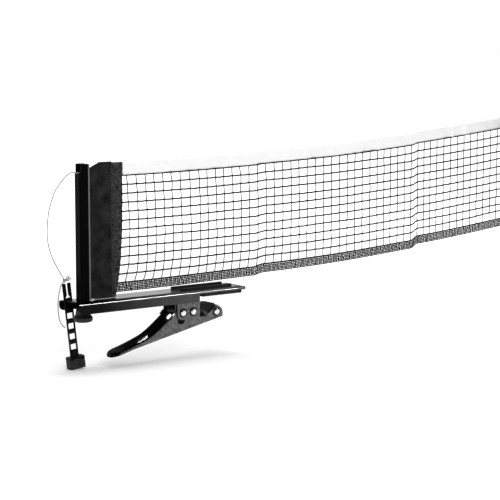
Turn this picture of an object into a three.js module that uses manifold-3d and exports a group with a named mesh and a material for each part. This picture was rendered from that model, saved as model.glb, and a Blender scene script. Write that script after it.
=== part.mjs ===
// A table tennis net clamp with its post, net and tension strap, in millimetres.
// X runs along the rail from the post to the jaw, Y points away from the front, Z is up.
// The origin is the middle of the jaw pad's underside, which rests on the table top.
import * as THREE from "three";
import { mergeVertices } from "three/addons/utils/BufferGeometryUtils.js";
import Module from "manifold-3d";

const wasm = await Module();
wasm.setup();

// ---- Driving dimensions -------------------------------------------------------------

const gap = 0.3; // left between two pieces that touch
const sheet = 2; // pressed steel sheet
const bend = 3; // outer radius of a bend in the sheet
const arcSteps = 5; // chords in a rounded corner

const pad = { length: 59.2, width: 40, thickness: 4.9, grooveDepth: 0.6, grooveWidth: 1.2, groovePitch: 9 };
const rib = { width: 4, spacing: 20, proud: 3.8, length: 76, endInset: 14.2 };
const rail = { width: 46, beyondPad: 5.6, beyondPost: 18.75, flangeDepth: 12.4, lipDepth: 3, cornerRadius: 4 };
const flangeCorner = 8;
const endHollow = { depth: 7.7, near: -2, far: 12 }; // cut into the plate's end, beside the strap
const bracket = { length: 32.9, width: 31, depth: 31.3 };
const bracketInside = bracket.width / 2 - sheet;
const postReach = 156.15; // from the bracket's jaw end to the post's axis

// Heights on the post, its screw, its sleeve and the net are taken from the plate's top.
const post = { size: 12, wall: 1.8, slot: 4, top: 160.2, bottom: -5.4, notchDepth: 10.5, cordGroove: 2.1 };
const postDrop = 2; // how far the post can be wound down from where it stands
const footBlock = { height: 8, clearance: 0.3, raised: 1.9 };
const bridge = { width: 15, thickness: 2, top: -7.7, screwClearance: 0.3, reliefWidth: 4.4, reliefDepth: 4.6 };
const screw = { radius: 2.5, bottom: -21.8, collarRadius: 3.8, collarHeight: 1.5, pitch: 2 };
const knob = { radius: 10.7, hubRadius: 8.2, height: 14.8, rim: 5.5, flutes: 12, fluteRadius: 1.5 };

const pivot = { fromBracketJawEnd: 24.9, belowPlate: 23.1 }; // the lever's rivet, from the plate's underside
const stop = { fromPivot: 14.9, abovePivot: 0.2 };
const rivet = { radius: 2.9, headRadius: 4.3, headHeight: 2.3, clearance: 0.3 };
const spacerWall = 1.4;

const lever = { halfWidth: bracketInside - gap, webEnd: -13, tip: -97.2, hubRadius: 8 };
const leverInside = lever.halfWidth - sheet;
const leverHole = { width: 10.8, height: 8.6, x: -1.4, z: -9.9 }; // oval
const leverCrown = [[-98, -41.1], [-74, -34.8], [-47, -25.2], [-32, -16.2], [-16, -4.2], [-9, 2.2]]; // x, z
const leverEdge = { rightX: 60.6, rightZ: -9.8, slope: 0.212, curveFrom: -60, curve: 0.0018 }; // the lower edge
const leverNotch = { from: 27, to: 34.2, z: -7.8 };
const nose = { x: 51.2, z: -3.3 }; // the shoe's rivet, from the pivot
const noseEdge = [[9.4, -1.8], [8.7, 1.4], [7.6, 3.6], [5.8, 5.3], [3.1, 6.9], [0.6, 8.2], [-2.4, 6.5], [-6.5, 2.9]]; // from it

const shoe = { back: -21.2, front: 6.2, crest: 3.2, seat: 7.9, halfWidth: leverInside - 2 * gap, hubRadius: 7 };
const shoeCover = { thickness: 2.1, front: -1.2, grooveDepth: 0.6, grooveWidth: 1.2, groovePitch: 5 };

const coilInset = 1.7;
const spring = { wire: 2.4, meanRadius: 6.6, turns: 6, width: 2 * (leverInside - coilInset) };
const springFoot = [[-13, 1.5], [-18, -2.8], [-21.5, -5.7]]; // the leg that lies on the lever's back

const strap = { width: 10.5, thickness: 1.3, top: 21 };
const strapWindow = { width: 8, height: 7.3, pitch: 12.5, first: -5.2, count: 5 };
const strapFork = { bottom: 3.5, shoulder: 7, slot: 2.9, waist: 8 };
const strapPlace = { fromPost: 10.4, behind: 16, leanDeg: 6.6 }; // where it crosses the plate
const grip = { width: 20, depth: 11, height: 13.6, top: -67.4, aside: 0.7, ribs: 4, ribPitch: 2.4, ribHeight: 0.7 };
const strapSlot = { sideClearance: 0.95, faceClearance: 0.6 };

const sleeve = { thickness: 2.4, top: 161.1, reachTop: 55.2, reachBottom: 44.6, cornerCut: 14 };
const rodRadius = 2.8;
const net = { start: 58, rows: 8, columns: 32, thread: 1, height: 127, bandHeight: 10, tapeHeight: 15.5 };
const netPath = { base: 17, rise: 34, riseFrom: 64, riseSpan: 598, risePower: 1.8 };
const netBow = { depth: 10, at: 415, spread: 120 };
const netEnd = 710; // where the flat net meets its roll, from the post's axis
const roll = { turns: 7, pitch: 4.2, core: 11, stepsPerTurn: 24 };
const cloth = { mesh: 1, tape: 2.2, band: 1.6, roll: 1.8 };

const cord = { diameter: 1.3, sides: 8, steps: 72 };

// ---- Places worked out from them ----------------------------------------------------

const plateUnder = pad.thickness + gap;
const plateTop = plateUnder + sheet;
const padEnd = pad.length / 2;
const railRight = padEnd + rail.beyondPad;
const bracketRight = -padEnd - gap;
const bracketLeft = bracketRight - bracket.length;
const postX = bracketRight - postReach;
const railLeft = postX - rail.beyondPost;
const flangeRight = bracketRight - 5.8;
const flangeBottom = plateTop - rail.flangeDepth;
const pivotX = bracketRight - pivot.fromBracketJawEnd;
const pivotZ = plateUnder - pivot.belowPlate;
const shankHole = rivet.radius + rivet.clearance;
const spacerRadius = shankHole + spacerWall;
const lean = THREE.MathUtils.degToRad(strapPlace.leanDeg);
const footBottom = post.bottom + footBlock.raised;
const footTop = footBottom + footBlock.height;
const knobTop = bridge.top - bridge.thickness - gap;

// ---- Solids -------------------------------------------------------------------------

// A closed geometry as a solid that can be joined and cut.
function solidOf(geometry) {
  geometry.deleteAttribute("normal");
  geometry.deleteAttribute("uv");
  const merged = mergeVertices(geometry, 1e-4);
  const vertProperties = merged.getAttribute("position").array;
  const triVerts = new Uint32Array(merged.index.array);
  return new wasm.Manifold(new wasm.Mesh({ numProp: 3, vertProperties, triVerts }));
}

function geometryOf(solid) {
  const mesh = solid.getMesh();
  const geometry = new THREE.BufferGeometry();
  geometry.setAttribute("position", new THREE.BufferAttribute(new Float32Array(mesh.vertProperties), 3));
  geometry.setIndex(new THREE.BufferAttribute(new Uint32Array(mesh.triVerts), 1));
  geometry.computeVertexNormals();
  return geometry;
}

const join = (...solids) => solids.reduce((whole, piece) => whole.add(piece));
const cut = (whole, ...tools) => tools.reduce((left, tool) => left.subtract(tool), whole);

// A closed outline from corners [u, v, radius]; a corner with a radius is rounded.
function outline(corners) {
  const shape = new THREE.Shape();
  const at = (i) => new THREE.Vector2(...corners.at(i % corners.length).slice(0, 2));
  corners.forEach(([, , wanted = 0], i) => {
    const here = at(i);
    const back = at(i - 1).sub(here);
    const on = at(i + 1).sub(here);
    const radius = Math.min(wanted, back.length() * 0.49, on.length() * 0.49);
    const from = here.clone().addScaledVector(back.normalize(), radius);
    const to = here.clone().addScaledVector(on.normalize(), radius);
    if (i) shape.lineTo(from.x, from.y);
    else shape.moveTo(from.x, from.y);
    if (radius) shape.quadraticCurveTo(here.x, here.y, to.x, to.y);
  });
  shape.closePath();
  return shape;
}

const rectangle = (u0, v0, u1, v1, r = 0) => outline([[u0, v0, r], [u1, v0, r], [u1, v1, r], [u0, v1, r]]);

// An outline carried along one axis: drawn in (y, z) for "x", in (x, z) for "y", in (x, y) for "z".
function extrude(shape, axis, from, to) {
  const options = { depth: to - from, bevelEnabled: false, curveSegments: arcSteps };
  const geometry = new THREE.ExtrudeGeometry(shape, options);
  if (axis === "y") {
    geometry.translate(0, 0, -to).rotateX(Math.PI / 2);
    return solidOf(geometry);
  }
  geometry.translate(0, 0, from);
  if (axis === "x") {
    const turned = new THREE.Matrix4();
    turned.makeBasis(new THREE.Vector3(0, 1, 0), new THREE.Vector3(0, 0, 1), new THREE.Vector3(1, 0, 0));
    geometry.applyMatrix4(turned);
  }
  return solidOf(geometry);
}

const block = (x0, x1, y0, y1, z0, z1, r = 0) => extrude(rectangle(x0, y0, x1, y1, r), "z", z0, z1);

// A profile [radius, height] turned about the Y axis or the Z axis through (x, z).
function turned(profile, axis, x = 0, z = 0, segments = 20) {
  const points = profile.map(([r, h]) => new THREE.Vector2(r, h));
  const geometry = new THREE.LatheGeometry(points, segments);
  if (axis === "z") geometry.rotateX(Math.PI / 2);
  geometry.translate(x, 0, z);
  return solidOf(geometry);
}

const rodProfile = (r, h0, h1) => [[0, h0], [r, h0], [r, h1], [0, h1]];
const ringProfile = (inner, outer, h0, h1) => [[inner, h0], [outer, h0], [outer, h1], [inner, h1], [inner, h0]];
const holeAcross = (r, x, z, reach = 40) => turned(rodProfile(r, -reach, reach), "y", x, z);

// A closed skin over rings of points, one ring for each station, with flat ends.
function loft(rings) {
  const count = rings[0].length;
  const indices = [];
  for (let i = 0; i + 1 < rings.length; i++)
    for (let j = 0; j < count; j++) {
      const a = i * count + j;
      const b = i * count + ((j + 1) % count);
      indices.push(a, b, a + count, b, b + count, a + count);
    }
  const last = (rings.length - 1) * count;
  for (let j = 1; j + 1 < count; j++) {
    indices.push(0, j + 1, j);
    indices.push(last, last + j, last + j + 1);
  }
  const geometry = new THREE.BufferGeometry().setFromPoints(rings.flat());
  geometry.setIndex(indices);
  return solidOf(geometry);
}

// A tube of a few flat sides along a curve.
function tube(curve, diameter, sides, steps) {
  const section = new THREE.Shape();
  for (let i = 0; i < sides; i++) {
    const angle = (2 * Math.PI * i) / sides;
    const [u, v] = [(diameter / 2) * Math.cos(angle), (diameter / 2) * Math.sin(angle)];
    if (i) section.lineTo(u, v);
    else section.moveTo(u, v);
  }
  section.closePath();
  return new THREE.ExtrudeGeometry(section, { extrudePath: curve, steps, bevelEnabled: false });
}

// A sheet over a grid of stops: open(i, j) leaves that cell out, place(u, v, side) gives a point of
// its front (side -1) or back (side 1). Walls close each edge, so the sheet is one body.
function sheetOver(uStops, vStops, place, open = () => false) {
  const rows = vStops.length;
  const vertex = (i, j, side) => (i * rows + j) * 2 + side;
  const points = [];
  for (const u of uStops) for (const v of vStops) points.push(place(u, v, -1), place(u, v, 1));
  const filled = (i, j) => i >= 0 && j >= 0 && i < uStops.length - 1 && j < rows - 1 && !open(i, j);
  const indices = [];
  const quad = (a, b, c, d) => indices.push(a, b, c, a, c, d);
  for (let i = 0; i < uStops.length - 1; i++)
    for (let j = 0; j < rows - 1; j++) {
      if (!filled(i, j)) continue;
      const front = [vertex(i, j, 0), vertex(i + 1, j, 0), vertex(i + 1, j + 1, 0), vertex(i, j + 1, 0)];
      const back = front.map((k) => k + 1);
      quad(...front);
      quad(back[3], back[2], back[1], back[0]);
      const neighbours = [[i, j - 1], [i + 1, j], [i, j + 1], [i - 1, j]];
      neighbours.forEach(([p, q], k) => {
        if (!filled(p, q)) quad(front[(k + 1) % 4], front[k], back[k], back[(k + 1) % 4]);
      });
    }
  const geometry = new THREE.BufferGeometry().setFromPoints(points);
  geometry.setIndex(indices);
  return solidOf(geometry);
}

// ---- Materials ----------------------------------------------------------------------

const finish = (color, roughness, metalness) => new THREE.MeshStandardMaterial({ color, roughness, metalness });
const blackPaint = finish(0x17181a, 0.35, 0.3);
const nickel = finish(0xc9cacb, 0.22, 1);
const springSteel = finish(0x9a9b9c, 0.3, 1);
const blackPlastic = finish(0x141415, 0.45, 0);
const blackRubber = finish(0x1d1d1e, 0.8, 0);
const blackFabric = finish(0x18181a, 0.9, 0);
const blackThread = finish(0x101011, 0.85, 0);
const whiteTape = finish(0xf2f2f0, 0.9, 0);
const whiteCord = finish(0xe9e9e6, 0.6, 0);

const clamp = new THREE.Group();

function add(parent, name, solid, material) {
  const mesh = new THREE.Mesh(geometryOf(solid), material);
  mesh.name = name;
  parent.add(mesh);
}

// ---- The clamp's frame --------------------------------------------------------------

// A channel section in (y, z): flat top, rounded bends and a flange down each side.
function channelSection(width, top, bottom) {
  const half = width / 2;
  const inner = bend - sheet;
  return outline([
    [-half, bottom], [-half + sheet, bottom], [-half + sheet, top - sheet, inner], [half - sheet, top - sheet, inner],
    [half - sheet, bottom], [half, bottom], [half, top, bend], [-half, top, bend],
  ]);
}

function ribSlots(clearance, z0, z1, right) {
  const half = rib.width / 2 + clearance;
  const left = right - rib.length;
  return [-1, 1].map((side) => {
    const y = (side * rib.spacing) / 2;
    return block(left - clearance, right + clearance, y - half, y + half, z0, z1, half * 0.98);
  });
}

const ribRight = railRight - rib.endInset;

function jawRail() {
  const section = extrude(channelSection(rail.width, plateTop, flangeBottom), "x", railLeft, railRight);
  const side = outline([
    [railLeft, flangeBottom, flangeCorner], [flangeRight, flangeBottom, 2], [flangeRight, plateTop - rail.lipDepth, 1.5],
    [railRight, plateTop - rail.lipDepth], [railRight, plateTop + 1], [railLeft, plateTop + 1],
  ]);
  const half = rail.width / 2;
  const plan = outline([
    [railLeft, -half], [railRight, -half, rail.cornerRadius], [railRight, half, rail.cornerRadius], [railLeft, half],
  ]);
  const body = section
    .intersect(extrude(side, "y", -half - 1, half + 1))
    .intersect(extrude(plan, "z", flangeBottom - 1, plateTop + 2));
  const mouth = post.size / 2 + gap;
  const postMouth = block(postX - mouth, postX + mouth, -mouth, mouth, 0, plateTop + 1, 1.2);
  const slotX = postX - strapPlace.fromPost;
  const slotHalf = strap.width / 2 + strapSlot.sideClearance;
  const slotDepth = strap.thickness / 2 + strapSlot.faceClearance;
  const [near, far] = [strapPlace.behind - slotDepth, strapPlace.behind + slotDepth];
  const strapMouth = block(slotX - slotHalf, slotX + slotHalf, near, far, 0, plateTop + 1, 1);
  const hollowEnd = railLeft + endHollow.depth;
  const hollow = outline([
    [railLeft - 1, -half], [railLeft, -half], [hollowEnd, endHollow.near, 8], [hollowEnd, endHollow.far, 6],
    [railLeft, half], [railLeft - 1, half],
  ]);
  const endCut = extrude(hollow, "z", plateUnder - 1, plateTop + 1);
  return cut(body, ...ribSlots(gap, 0, plateTop + 1, ribRight), postMouth, strapMouth, endCut);
}

function leverBracket() {
  const top = plateUnder - gap;
  const bottom = plateTop - bracket.depth - sheet * 1.15;
  const section = extrude(channelSection(bracket.width, top, bottom), "x", bracketLeft, bracketRight);
  const side = outline([
    [bracketLeft, bottom, 8], [bracketRight, bottom, 5], [bracketRight, top + 1], [bracketLeft, top + 1],
  ]);
  const body = section.intersect(extrude(side, "y", -bracket.width, bracket.width));
  return cut(
    body,
    holeAcross(shankHole, pivotX, pivotZ),
    holeAcross(shankHole, pivotX + stop.fromPivot, pivotZ + stop.abovePivot),
  );
}

function postBridge() {
  const half = bridge.width / 2;
  const reach = rail.width / 2 - sheet - gap;
  const top = plateTop + bridge.top;
  const bottom = top - bridge.thickness;
  const strip = block(postX - half, postX + half, -reach, reach, bottom, top, 2);
  const bore = turned(rodProfile(screw.radius + bridge.screwClearance, bottom - 1, top + 1), "z", postX);
  const [near, far] = [-1, 1].map((side) => strapPlace.behind + (side * bridge.reliefWidth) / 2);
  const relief = block(postX - half - 5, postX - half + bridge.reliefDepth, near, far, bottom - 1, top + 1, 1);
  return cut(strip, bore, relief);
}

function jawPad() {
  const half = pad.width / 2;
  const slab = extrude(
    outline([[-padEnd, 0, 1], [padEnd, 0, 1.5], [padEnd, pad.thickness, 0.5], [-padEnd, pad.thickness, 0.5]]),
    "y", -half, half,
  );
  const grooves = [];
  for (let x = -2.5 * pad.groovePitch; x < padEnd; x += pad.groovePitch)
    grooves.push(block(x - pad.grooveWidth / 2, x + pad.grooveWidth / 2, -half - 1, half + 1, -1, pad.grooveDepth));
  const ribTop = plateTop + rib.proud;
  const ribs = ribSlots(0, plateUnder, ribTop, ribRight);
  const roots = ribSlots(0, pad.thickness / 2, plateUnder + 0.1, ribRight).map((solid) =>
    solid.intersect(block(-padEnd, padEnd, -half, half, 0, plateTop)),
  );
  return cut(join(slab, ...ribs, ...roots), ...grooves);
}

// A rivet along Y: a shank with a domed head outside each face.
function domedRivet(faceY, x, z) {
  const near = faceY + gap;
  const dome = [];
  for (let i = 0; i <= 5; i++) {
    const angle = (i * Math.PI) / 10;
    dome.push([rivet.headRadius * Math.cos(angle), near + 0.5 + (rivet.headHeight - 0.5) * Math.sin(angle)]);
  }
  const profile = [
    ...dome.map(([r, h]) => [r, -h]).reverse(),
    [rivet.headRadius, -near], [rivet.radius, -near], [rivet.radius, near], [rivet.headRadius, near],
    ...dome,
  ];
  profile[0][0] = 0;
  profile.at(-1)[0] = 0;
  return turned(profile, "y", x, z, 24);
}

function spacerTube(halfLength, x, z) {
  return turned(ringProfile(shankHole, spacerRadius, -halfLength, halfLength), "y", x, z);
}

// The wire's centre line: a leg under the bracket, close turns round the pivot, a leg on the lever.
class SpringLine extends THREE.Curve {
  constructor() {
    super();
    const points = [];
    const { meanRadius: r, turns, width } = spring;
    const firstAngle = Math.PI;
    const lastAngle = firstAngle + 2 * Math.PI * turns - THREE.MathUtils.degToRad(68);
    const start = -width / 2;
    const legTop = pivot.belowPlate - gap - sheet - gap;
    for (const share of [1, 0.66, 0.33, 0.12]) points.push(new THREE.Vector3(-r, start, legTop * share));
    const steps = Math.round(8 * turns);
    for (let i = 0; i <= steps; i++) {
      const angle = firstAngle + ((lastAngle - firstAngle) * i) / steps;
      const y = start + (width * i) / steps;
      points.push(new THREE.Vector3(r * Math.cos(angle), y, r * Math.sin(angle)));
    }
    for (const [x, z] of springFoot) points.push(new THREE.Vector3(x, width / 2, z));
    this.line = new THREE.CatmullRomCurve3(points, false, "centripetal");
  }
  getPoint(t, target = new THREE.Vector3()) {
    return this.line.getPoint(t, target);
  }
}

// The least clear distance between stretches of a wire that lie more than half a turn apart.
function selfGap(curve, wire, apart, samples = 700) {
  const points = curve.getSpacedPoints(samples);
  const step = curve.getLength() / samples;
  const skip = Math.ceil(apart / step);
  let least = Infinity;
  for (let i = 0; i < samples; i++)
    for (let j = i + skip; j <= samples; j++) least = Math.min(least, points[i].distanceTo(points[j]));
  return least - wire;
}

function torsionSpring() {
  const curve = new SpringLine();
  const clear = selfGap(curve, spring.wire, Math.PI * spring.meanRadius);
  console.log("torsion spring, least gap to itself: " + clear.toFixed(2) + " mm");
  const solid = solidOf(tube(curve, spring.wire, 6, 8 * spring.turns + 26));
  return solid.translate([pivotX, 0, pivotZ]);
}

// ---- The squeeze lever, drawn about its pivot -----------------------------------------

// Straight, and curved a little deeper towards the tip.
function lowerEdge(x) {
  const beyond = Math.max(0, leverEdge.curveFrom - x);
  return leverEdge.rightZ - leverEdge.slope * (leverEdge.rightX - x) - leverEdge.curve * beyond * beyond;
}

const crownLine = new THREE.SplineCurve(leverCrown.map(([x, z]) => new THREE.Vector2(x, z)));

// The height of the lever's back at x, found along its crown line.
function crownAt(x) {
  let [low, high] = [0, 1];
  for (let i = 0; i < 40; i++) {
    const middle = (low + high) / 2;
    if (crownLine.getPoint(middle).x < x) low = middle;
    else high = middle;
  }
  return crownLine.getPoint(low).y;
}

const crownSlope = (x) => (crownAt(x + 0.5) - crownAt(x - 0.5)) / 1;

// One cross-section of the lever's closed outer form: flat below, two rounded shoulders above.
function leverRing(x, half, top, bottom) {
  const radius = Math.min(bend, half * 0.8, (top - bottom) * 0.8);
  const ring = [new THREE.Vector3(x, half, bottom)];
  for (const side of [1, -1])
    for (let i = 0; i <= 4; i++) {
      const angle = ((side > 0 ? i : 4 - i) * Math.PI) / 8;
      const y = side * (half - radius + radius * Math.cos(angle));
      ring.push(new THREE.Vector3(x, y, top - radius + radius * Math.sin(angle)));
    }
  ring.push(new THREE.Vector3(x, -half, bottom));
  return ring;
}

// The lever's form inset by a wall, from its half-round tip to x = right.
function leverForm(wall, right, dropBelow) {
  const half = lever.halfWidth - wall;
  const centre = lever.tip + lever.halfWidth;
  const rings = [];
  const ring = (x, width) => {
    const inset = wall / Math.cos(Math.atan(crownSlope(x)));
    rings.push(leverRing(x, width, crownAt(x) - inset, lowerEdge(x) - dropBelow));
  };
  for (let i = 1; i < 6; i++) ring(centre - half * Math.cos((i * Math.PI) / 12), half * Math.sin((i * Math.PI) / 12));
  for (let i = 0; i <= 12; i++) ring(centre + ((right - centre) * i) / 12, half);
  return loft(rings);
}

// One side plate from the back's end to the nose. Its edge seats under the stop's spacer at rest.
function leverPlateOutline() {
  const left = lever.webEnd - 5;
  const hub = lever.hubRadius;
  const shape = new THREE.Shape();
  shape.moveTo(left, lowerEdge(left));
  shape.lineTo(leverEdge.rightX - 2, lowerEdge(leverEdge.rightX - 2));
  shape.quadraticCurveTo(leverEdge.rightX, leverEdge.rightZ, leverEdge.rightX + 0.1, leverEdge.rightZ + 2);
  shape.splineThru(noseEdge.map(([x, z]) => new THREE.Vector2(nose.x + x, nose.z + z)));
  shape.lineTo(leverNotch.to + 1.5, leverNotch.z + 1.2);
  shape.quadraticCurveTo(leverNotch.to, leverNotch.z, leverNotch.to - 1.5, leverNotch.z);
  shape.lineTo(leverNotch.from, leverNotch.z);
  shape.lineTo(stop.fromPivot + spacerRadius + 1.5, stop.abovePivot - spacerRadius - gap);
  shape.absarc(stop.fromPivot, stop.abovePivot, spacerRadius + gap, -0.6, -2.5, true);
  shape.absarc(0, 0, hub, -0.35, 2.6, false);
  shape.lineTo(left, crownAt(left) - bend);
  shape.closePath();
  return shape;
}

function squeezeLever() {
  const formed = cut(leverForm(0, lever.webEnd, 0), leverForm(sheet, lever.webEnd + 2, 6));
  const { halfWidth } = lever;
  const nearPlate = extrude(leverPlateOutline(), "y", -halfWidth, -halfWidth + sheet);
  const farPlate = extrude(leverPlateOutline(), "y", halfWidth - sheet, halfWidth);
  const { width, height, x, z } = leverHole;
  const oval = turned(rodProfile(width / 2, -halfWidth - 1, halfWidth + 1), "y").scale([1, 1, height / width]);
  return cut(
    join(formed, nearPlate, farPlate),
    holeAcross(shankHole, 0, 0),
    holeAcross(shankHole, nose.x, nose.z),
    oval.translate([x, 0, z]),
  );
}

// ---- The shoe, drawn about its rivet ---------------------------------------------------

function jawShoe() {
  const { back, front, crest, seat, halfWidth, hubRadius } = shoe;
  const wedge = outline([
    [back, seat - 3.4, 1], [-4, -5, 2], [front, -1, 3], [front - 0.6, seat - 1.7, 3], [crest, seat, 1.5], [back, seat, 0.6],
  ]);
  const body = extrude(wedge, "y", -halfWidth, halfWidth);
  const hub = turned(rodProfile(hubRadius, -halfWidth, halfWidth), "y");
  return cut(join(body, hub), holeAcross(shankHole, 0, 0));
}

function shoePad() {
  const { back, seat, halfWidth } = shoe;
  const { thickness, front, grooveDepth, grooveWidth, groovePitch } = shoeCover;
  const bottom = seat + gap;
  const top = bottom + thickness;
  const slab = extrude(
    outline([[back, bottom], [front, bottom], [front, top, 1.8], [back, top, 1.2]]), "y", -halfWidth, halfWidth,
  );
  const middle = (back + front) / 2;
  const grooves = [-1.5, -0.5, 0.5, 1.5].map((n) => {
    const x = middle + n * groovePitch;
    const half = grooveWidth / 2;
    return block(x - half, x + half, -halfWidth - 1, halfWidth + 1, top - grooveDepth, top + 1);
  });
  return cut(slab, ...grooves);
}

// ---- The post, drawn about its axis ----------------------------------------------------

function netPost() {
  const half = post.size / 2;
  const inside = half - post.wall;
  const open = post.slot / 2;
  const section = outline([
    [-half, -half, 1.4], [half, -half, 1.4], [half, -open], [inside, -open], [inside, -inside], [-inside, -inside],
    [-inside, inside], [inside, inside], [inside, open], [half, open], [half, half, 1.4], [-half, half, 1.4],
  ]);
  const channel = extrude(section, "z", post.bottom, post.top);
  const shoulder = post.top - post.notchDepth;
  const cutBack = block(-half - 1, -inside + 0.01, -half - 1, half + 1, shoulder, post.top + 1);
  const groove = extrude(
    outline([[-2.2, shoulder + 1], [0, shoulder - post.cordGroove, 0.8], [2.2, shoulder + 1]]), "x", -half - 1, -inside + 0.5,
  );
  return cut(channel, cutBack, groove);
}

function postFoot() {
  const half = post.size / 2 - post.wall - footBlock.clearance;
  const plug = block(-half, half, -half, half, footBottom, footTop, 0.8);
  return cut(plug, turned(rodProfile(screw.radius + gap, footBottom - 1, footTop + 1), "z"));
}

function heightScrew() {
  const { radius, bottom, pitch } = screw;
  const top = footTop - postDrop - gap;
  const profile = [[0, bottom], [radius, bottom]];
  for (let z = bottom + 1; z + pitch < top - 1; z += pitch) profile.push([radius, z], [radius - 0.35, z + pitch / 2]);
  profile.push([radius, top - 1], [radius - 1, top], [0, top]);
  return turned(profile, "z", 0, 0, 12);
}

function screwCollar() {
  const bottom = bridge.top + gap;
  return turned(ringProfile(screw.radius + gap, screw.collarRadius, bottom, bottom + screw.collarHeight), "z");
}

function heightKnob() {
  const { radius, hubRadius, height, rim } = knob;
  const bottom = knobTop - height;
  const bore = screw.radius + gap;
  const profile = [
    [0, bottom], [radius - 2.2, bottom], [radius - 0.5, bottom + 1.2], [radius, bottom + 2.6], [radius, bottom + rim],
    [hubRadius, knobTop - 0.8], [hubRadius - 0.8, knobTop], [bore, knobTop], [bore, screw.bottom - gap],
    [0, screw.bottom - gap],
  ];
  const flutes = [];
  for (let i = 0; i < knob.flutes; i++) {
    const angle = (2 * Math.PI * i) / knob.flutes;
    const reach = radius + knob.fluteRadius * 0.55;
    const flute = turned(rodProfile(knob.fluteRadius, bottom - 1, bottom + rim + 1), "z", 0, 0, 8);
    flutes.push(flute.translate([reach * Math.cos(angle), reach * Math.sin(angle), 0]));
  }
  return cut(turned(profile, "z", 0, 0, 36), ...flutes);
}

// ---- The net and its sleeve, drawn about the post's axis -------------------------------

// The black end of the net: a double cloth held in the post by the rod inside it.
function netSleeve() {
  const inner = rodRadius + 0.5;
  const half = sleeve.thickness / 2;
  const bottom = postDrop + gap;
  const outside = post.size / 2 + 4;
  const side = outline([
    [inner, footTop + gap], [outside, footTop + gap], [outside, bottom], [sleeve.reachBottom, bottom],
    [sleeve.reachTop, sleeve.top, 1], [outside + sleeve.cornerCut, sleeve.top], [outside, sleeve.top - 7],
    [inner, sleeve.top - 9],
  ]);
  return extrude(side, "y", -half, half);
}

const sleeveRod = () => turned(rodProfile(rodRadius, footTop + gap, post.top - 14), "z", 0, 0, 10);

// The net's line seen from above and its slow rise, x mm from the post.
function netLine(x) {
  const share = Math.max(0, (x - netPath.riseFrom) / netPath.riseSpan);
  const bow = Math.exp(-(((x - netBow.at) / netBow.spread) ** 2));
  return { y: -netBow.depth * bow, z: netPath.base + netPath.rise * share ** netPath.risePower };
}

// A point of a cloth of this thickness, at x along the net and height v over the mesh's foot.
// Next to the sleeve the net follows the sleeve's slanted edge.
function onNet(thickness) {
  return (x, v, side) => {
    const line = netLine(x);
    const fade = Math.max(0, 1 - (x - net.start) / 60);
    const slant = (sleeve.reachTop - sleeve.reachBottom) * (v / net.height - 1) * fade;
    return new THREE.Vector3(x + slant, line.y + (side * thickness) / 2, line.z + v);
  };
}

function evenStops(from, to, count) {
  return Array.from({ length: count + 1 }, (_, i) => from + ((to - from) * i) / count);
}

// Stops each side of every thread, so that the cells between two threads can be left open.
function threadStops(from, to, count, thread) {
  return evenStops(from + thread / 2, to - thread / 2, count).flatMap((m) => [m - thread / 2, m + thread / 2]);
}

function netMesh() {
  const uStops = threadStops(net.start, netEnd - gap, net.columns, net.thread);
  const vStops = threadStops(gap, net.height - gap, net.rows, net.thread);
  return sheetOver(uStops, vStops, onNet(cloth.mesh), (i, j) => i % 2 === 1 && j % 2 === 1);
}

const netStrip = (low, high, thickness) =>
  sheetOver(evenStops(net.start, netEnd - gap, net.columns), [low, high], onNet(thickness));

// The net that isn't spread, wound round the sleeve of its other end.
function rollPlace(angle, v, side) {
  const outer = roll.core + roll.turns * roll.pitch;
  const radius = outer - (roll.pitch * angle) / (2 * Math.PI) + (side * cloth.roll) / 2;
  const line = netLine(netEnd);
  return new THREE.Vector3(netEnd + radius * Math.sin(angle), line.y - outer + radius * Math.cos(angle), line.z + v);
}

function netRoll() {
  const stops = evenStops(0, 2 * Math.PI * roll.turns, roll.turns * roll.stepsPerTurn);
  return sheetOver(stops, [-net.bandHeight, net.height + net.tapeHeight], rollPlace);
}

function farSleeve() {
  const line = netLine(netEnd);
  const outer = roll.core + roll.turns * roll.pitch;
  const bottom = line.z - net.bandHeight - 2;
  const top = line.z + net.height + net.tapeHeight + 2;
  const radius = roll.core - cloth.roll / 2 - 1.2;
  const profile = [[0, bottom], [radius - 1, bottom], [radius, bottom + 1], [radius, top - 1], [radius - 1, top], [0, top]];
  return turned(profile, "z").translate([netEnd, line.y - outer, 0]);
}

// ---- The tension strap, drawn about the point where it crosses the plate ---------------

function windowAt(centre) {
  const [w, h] = [strapWindow.width / 2, strapWindow.height / 2];
  return rectangle(-w, centre - h, w, centre + h, 0.8);
}

function tensionStrap() {
  const half = strap.width / 2;
  const { bottom, shoulder, slot, waist } = strapFork;
  const side = outline([
    [-half, grip.top - 2], [half, grip.top - 2], [half, strap.top, 1], [slot / 2, strap.top, 1],
    [slot / 2, shoulder, 1], [waist / 2, bottom, 1], [-waist / 2, bottom, 1], [-slot / 2, shoulder, 1],
    [-slot / 2, strap.top, 1], [-half, strap.top, 1],
  ]);
  for (let i = 0; i < strapWindow.count; i++) {
    const hole = windowAt(strapWindow.first - i * strapWindow.pitch);
    side.holes.push(new THREE.Path(hole.getPoints(2)));
  }
  const ladder = extrude(side, "y", -strap.thickness / 2, strap.thickness / 2);
  const [w, d] = [grip.width / 2, grip.depth / 2];
  const bottomOfGrip = grip.top - grip.height;
  const aside = grip.aside;
  const body = extrude(rectangle(aside - w, -d, aside + w, d, 1.4), "z", bottomOfGrip, grip.top);
  const ribs = [];
  for (let i = 0; i < grip.ribs; i++) {
    const z = grip.top - grip.height / 2 + (i - (grip.ribs - 1) / 2) * grip.ribPitch;
    ribs.push(block(aside - w * 0.62, aside + w * 0.62, -d - grip.ribHeight, d + grip.ribHeight, z - 0.55, z + 0.55));
  }
  const neck = block(-half + 1.2, half - 1.2, -2.4, 2.4, grip.top - 1, grip.top + 7, 1);
  return join(ladder, body, neck, ...ribs);
}

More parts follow.
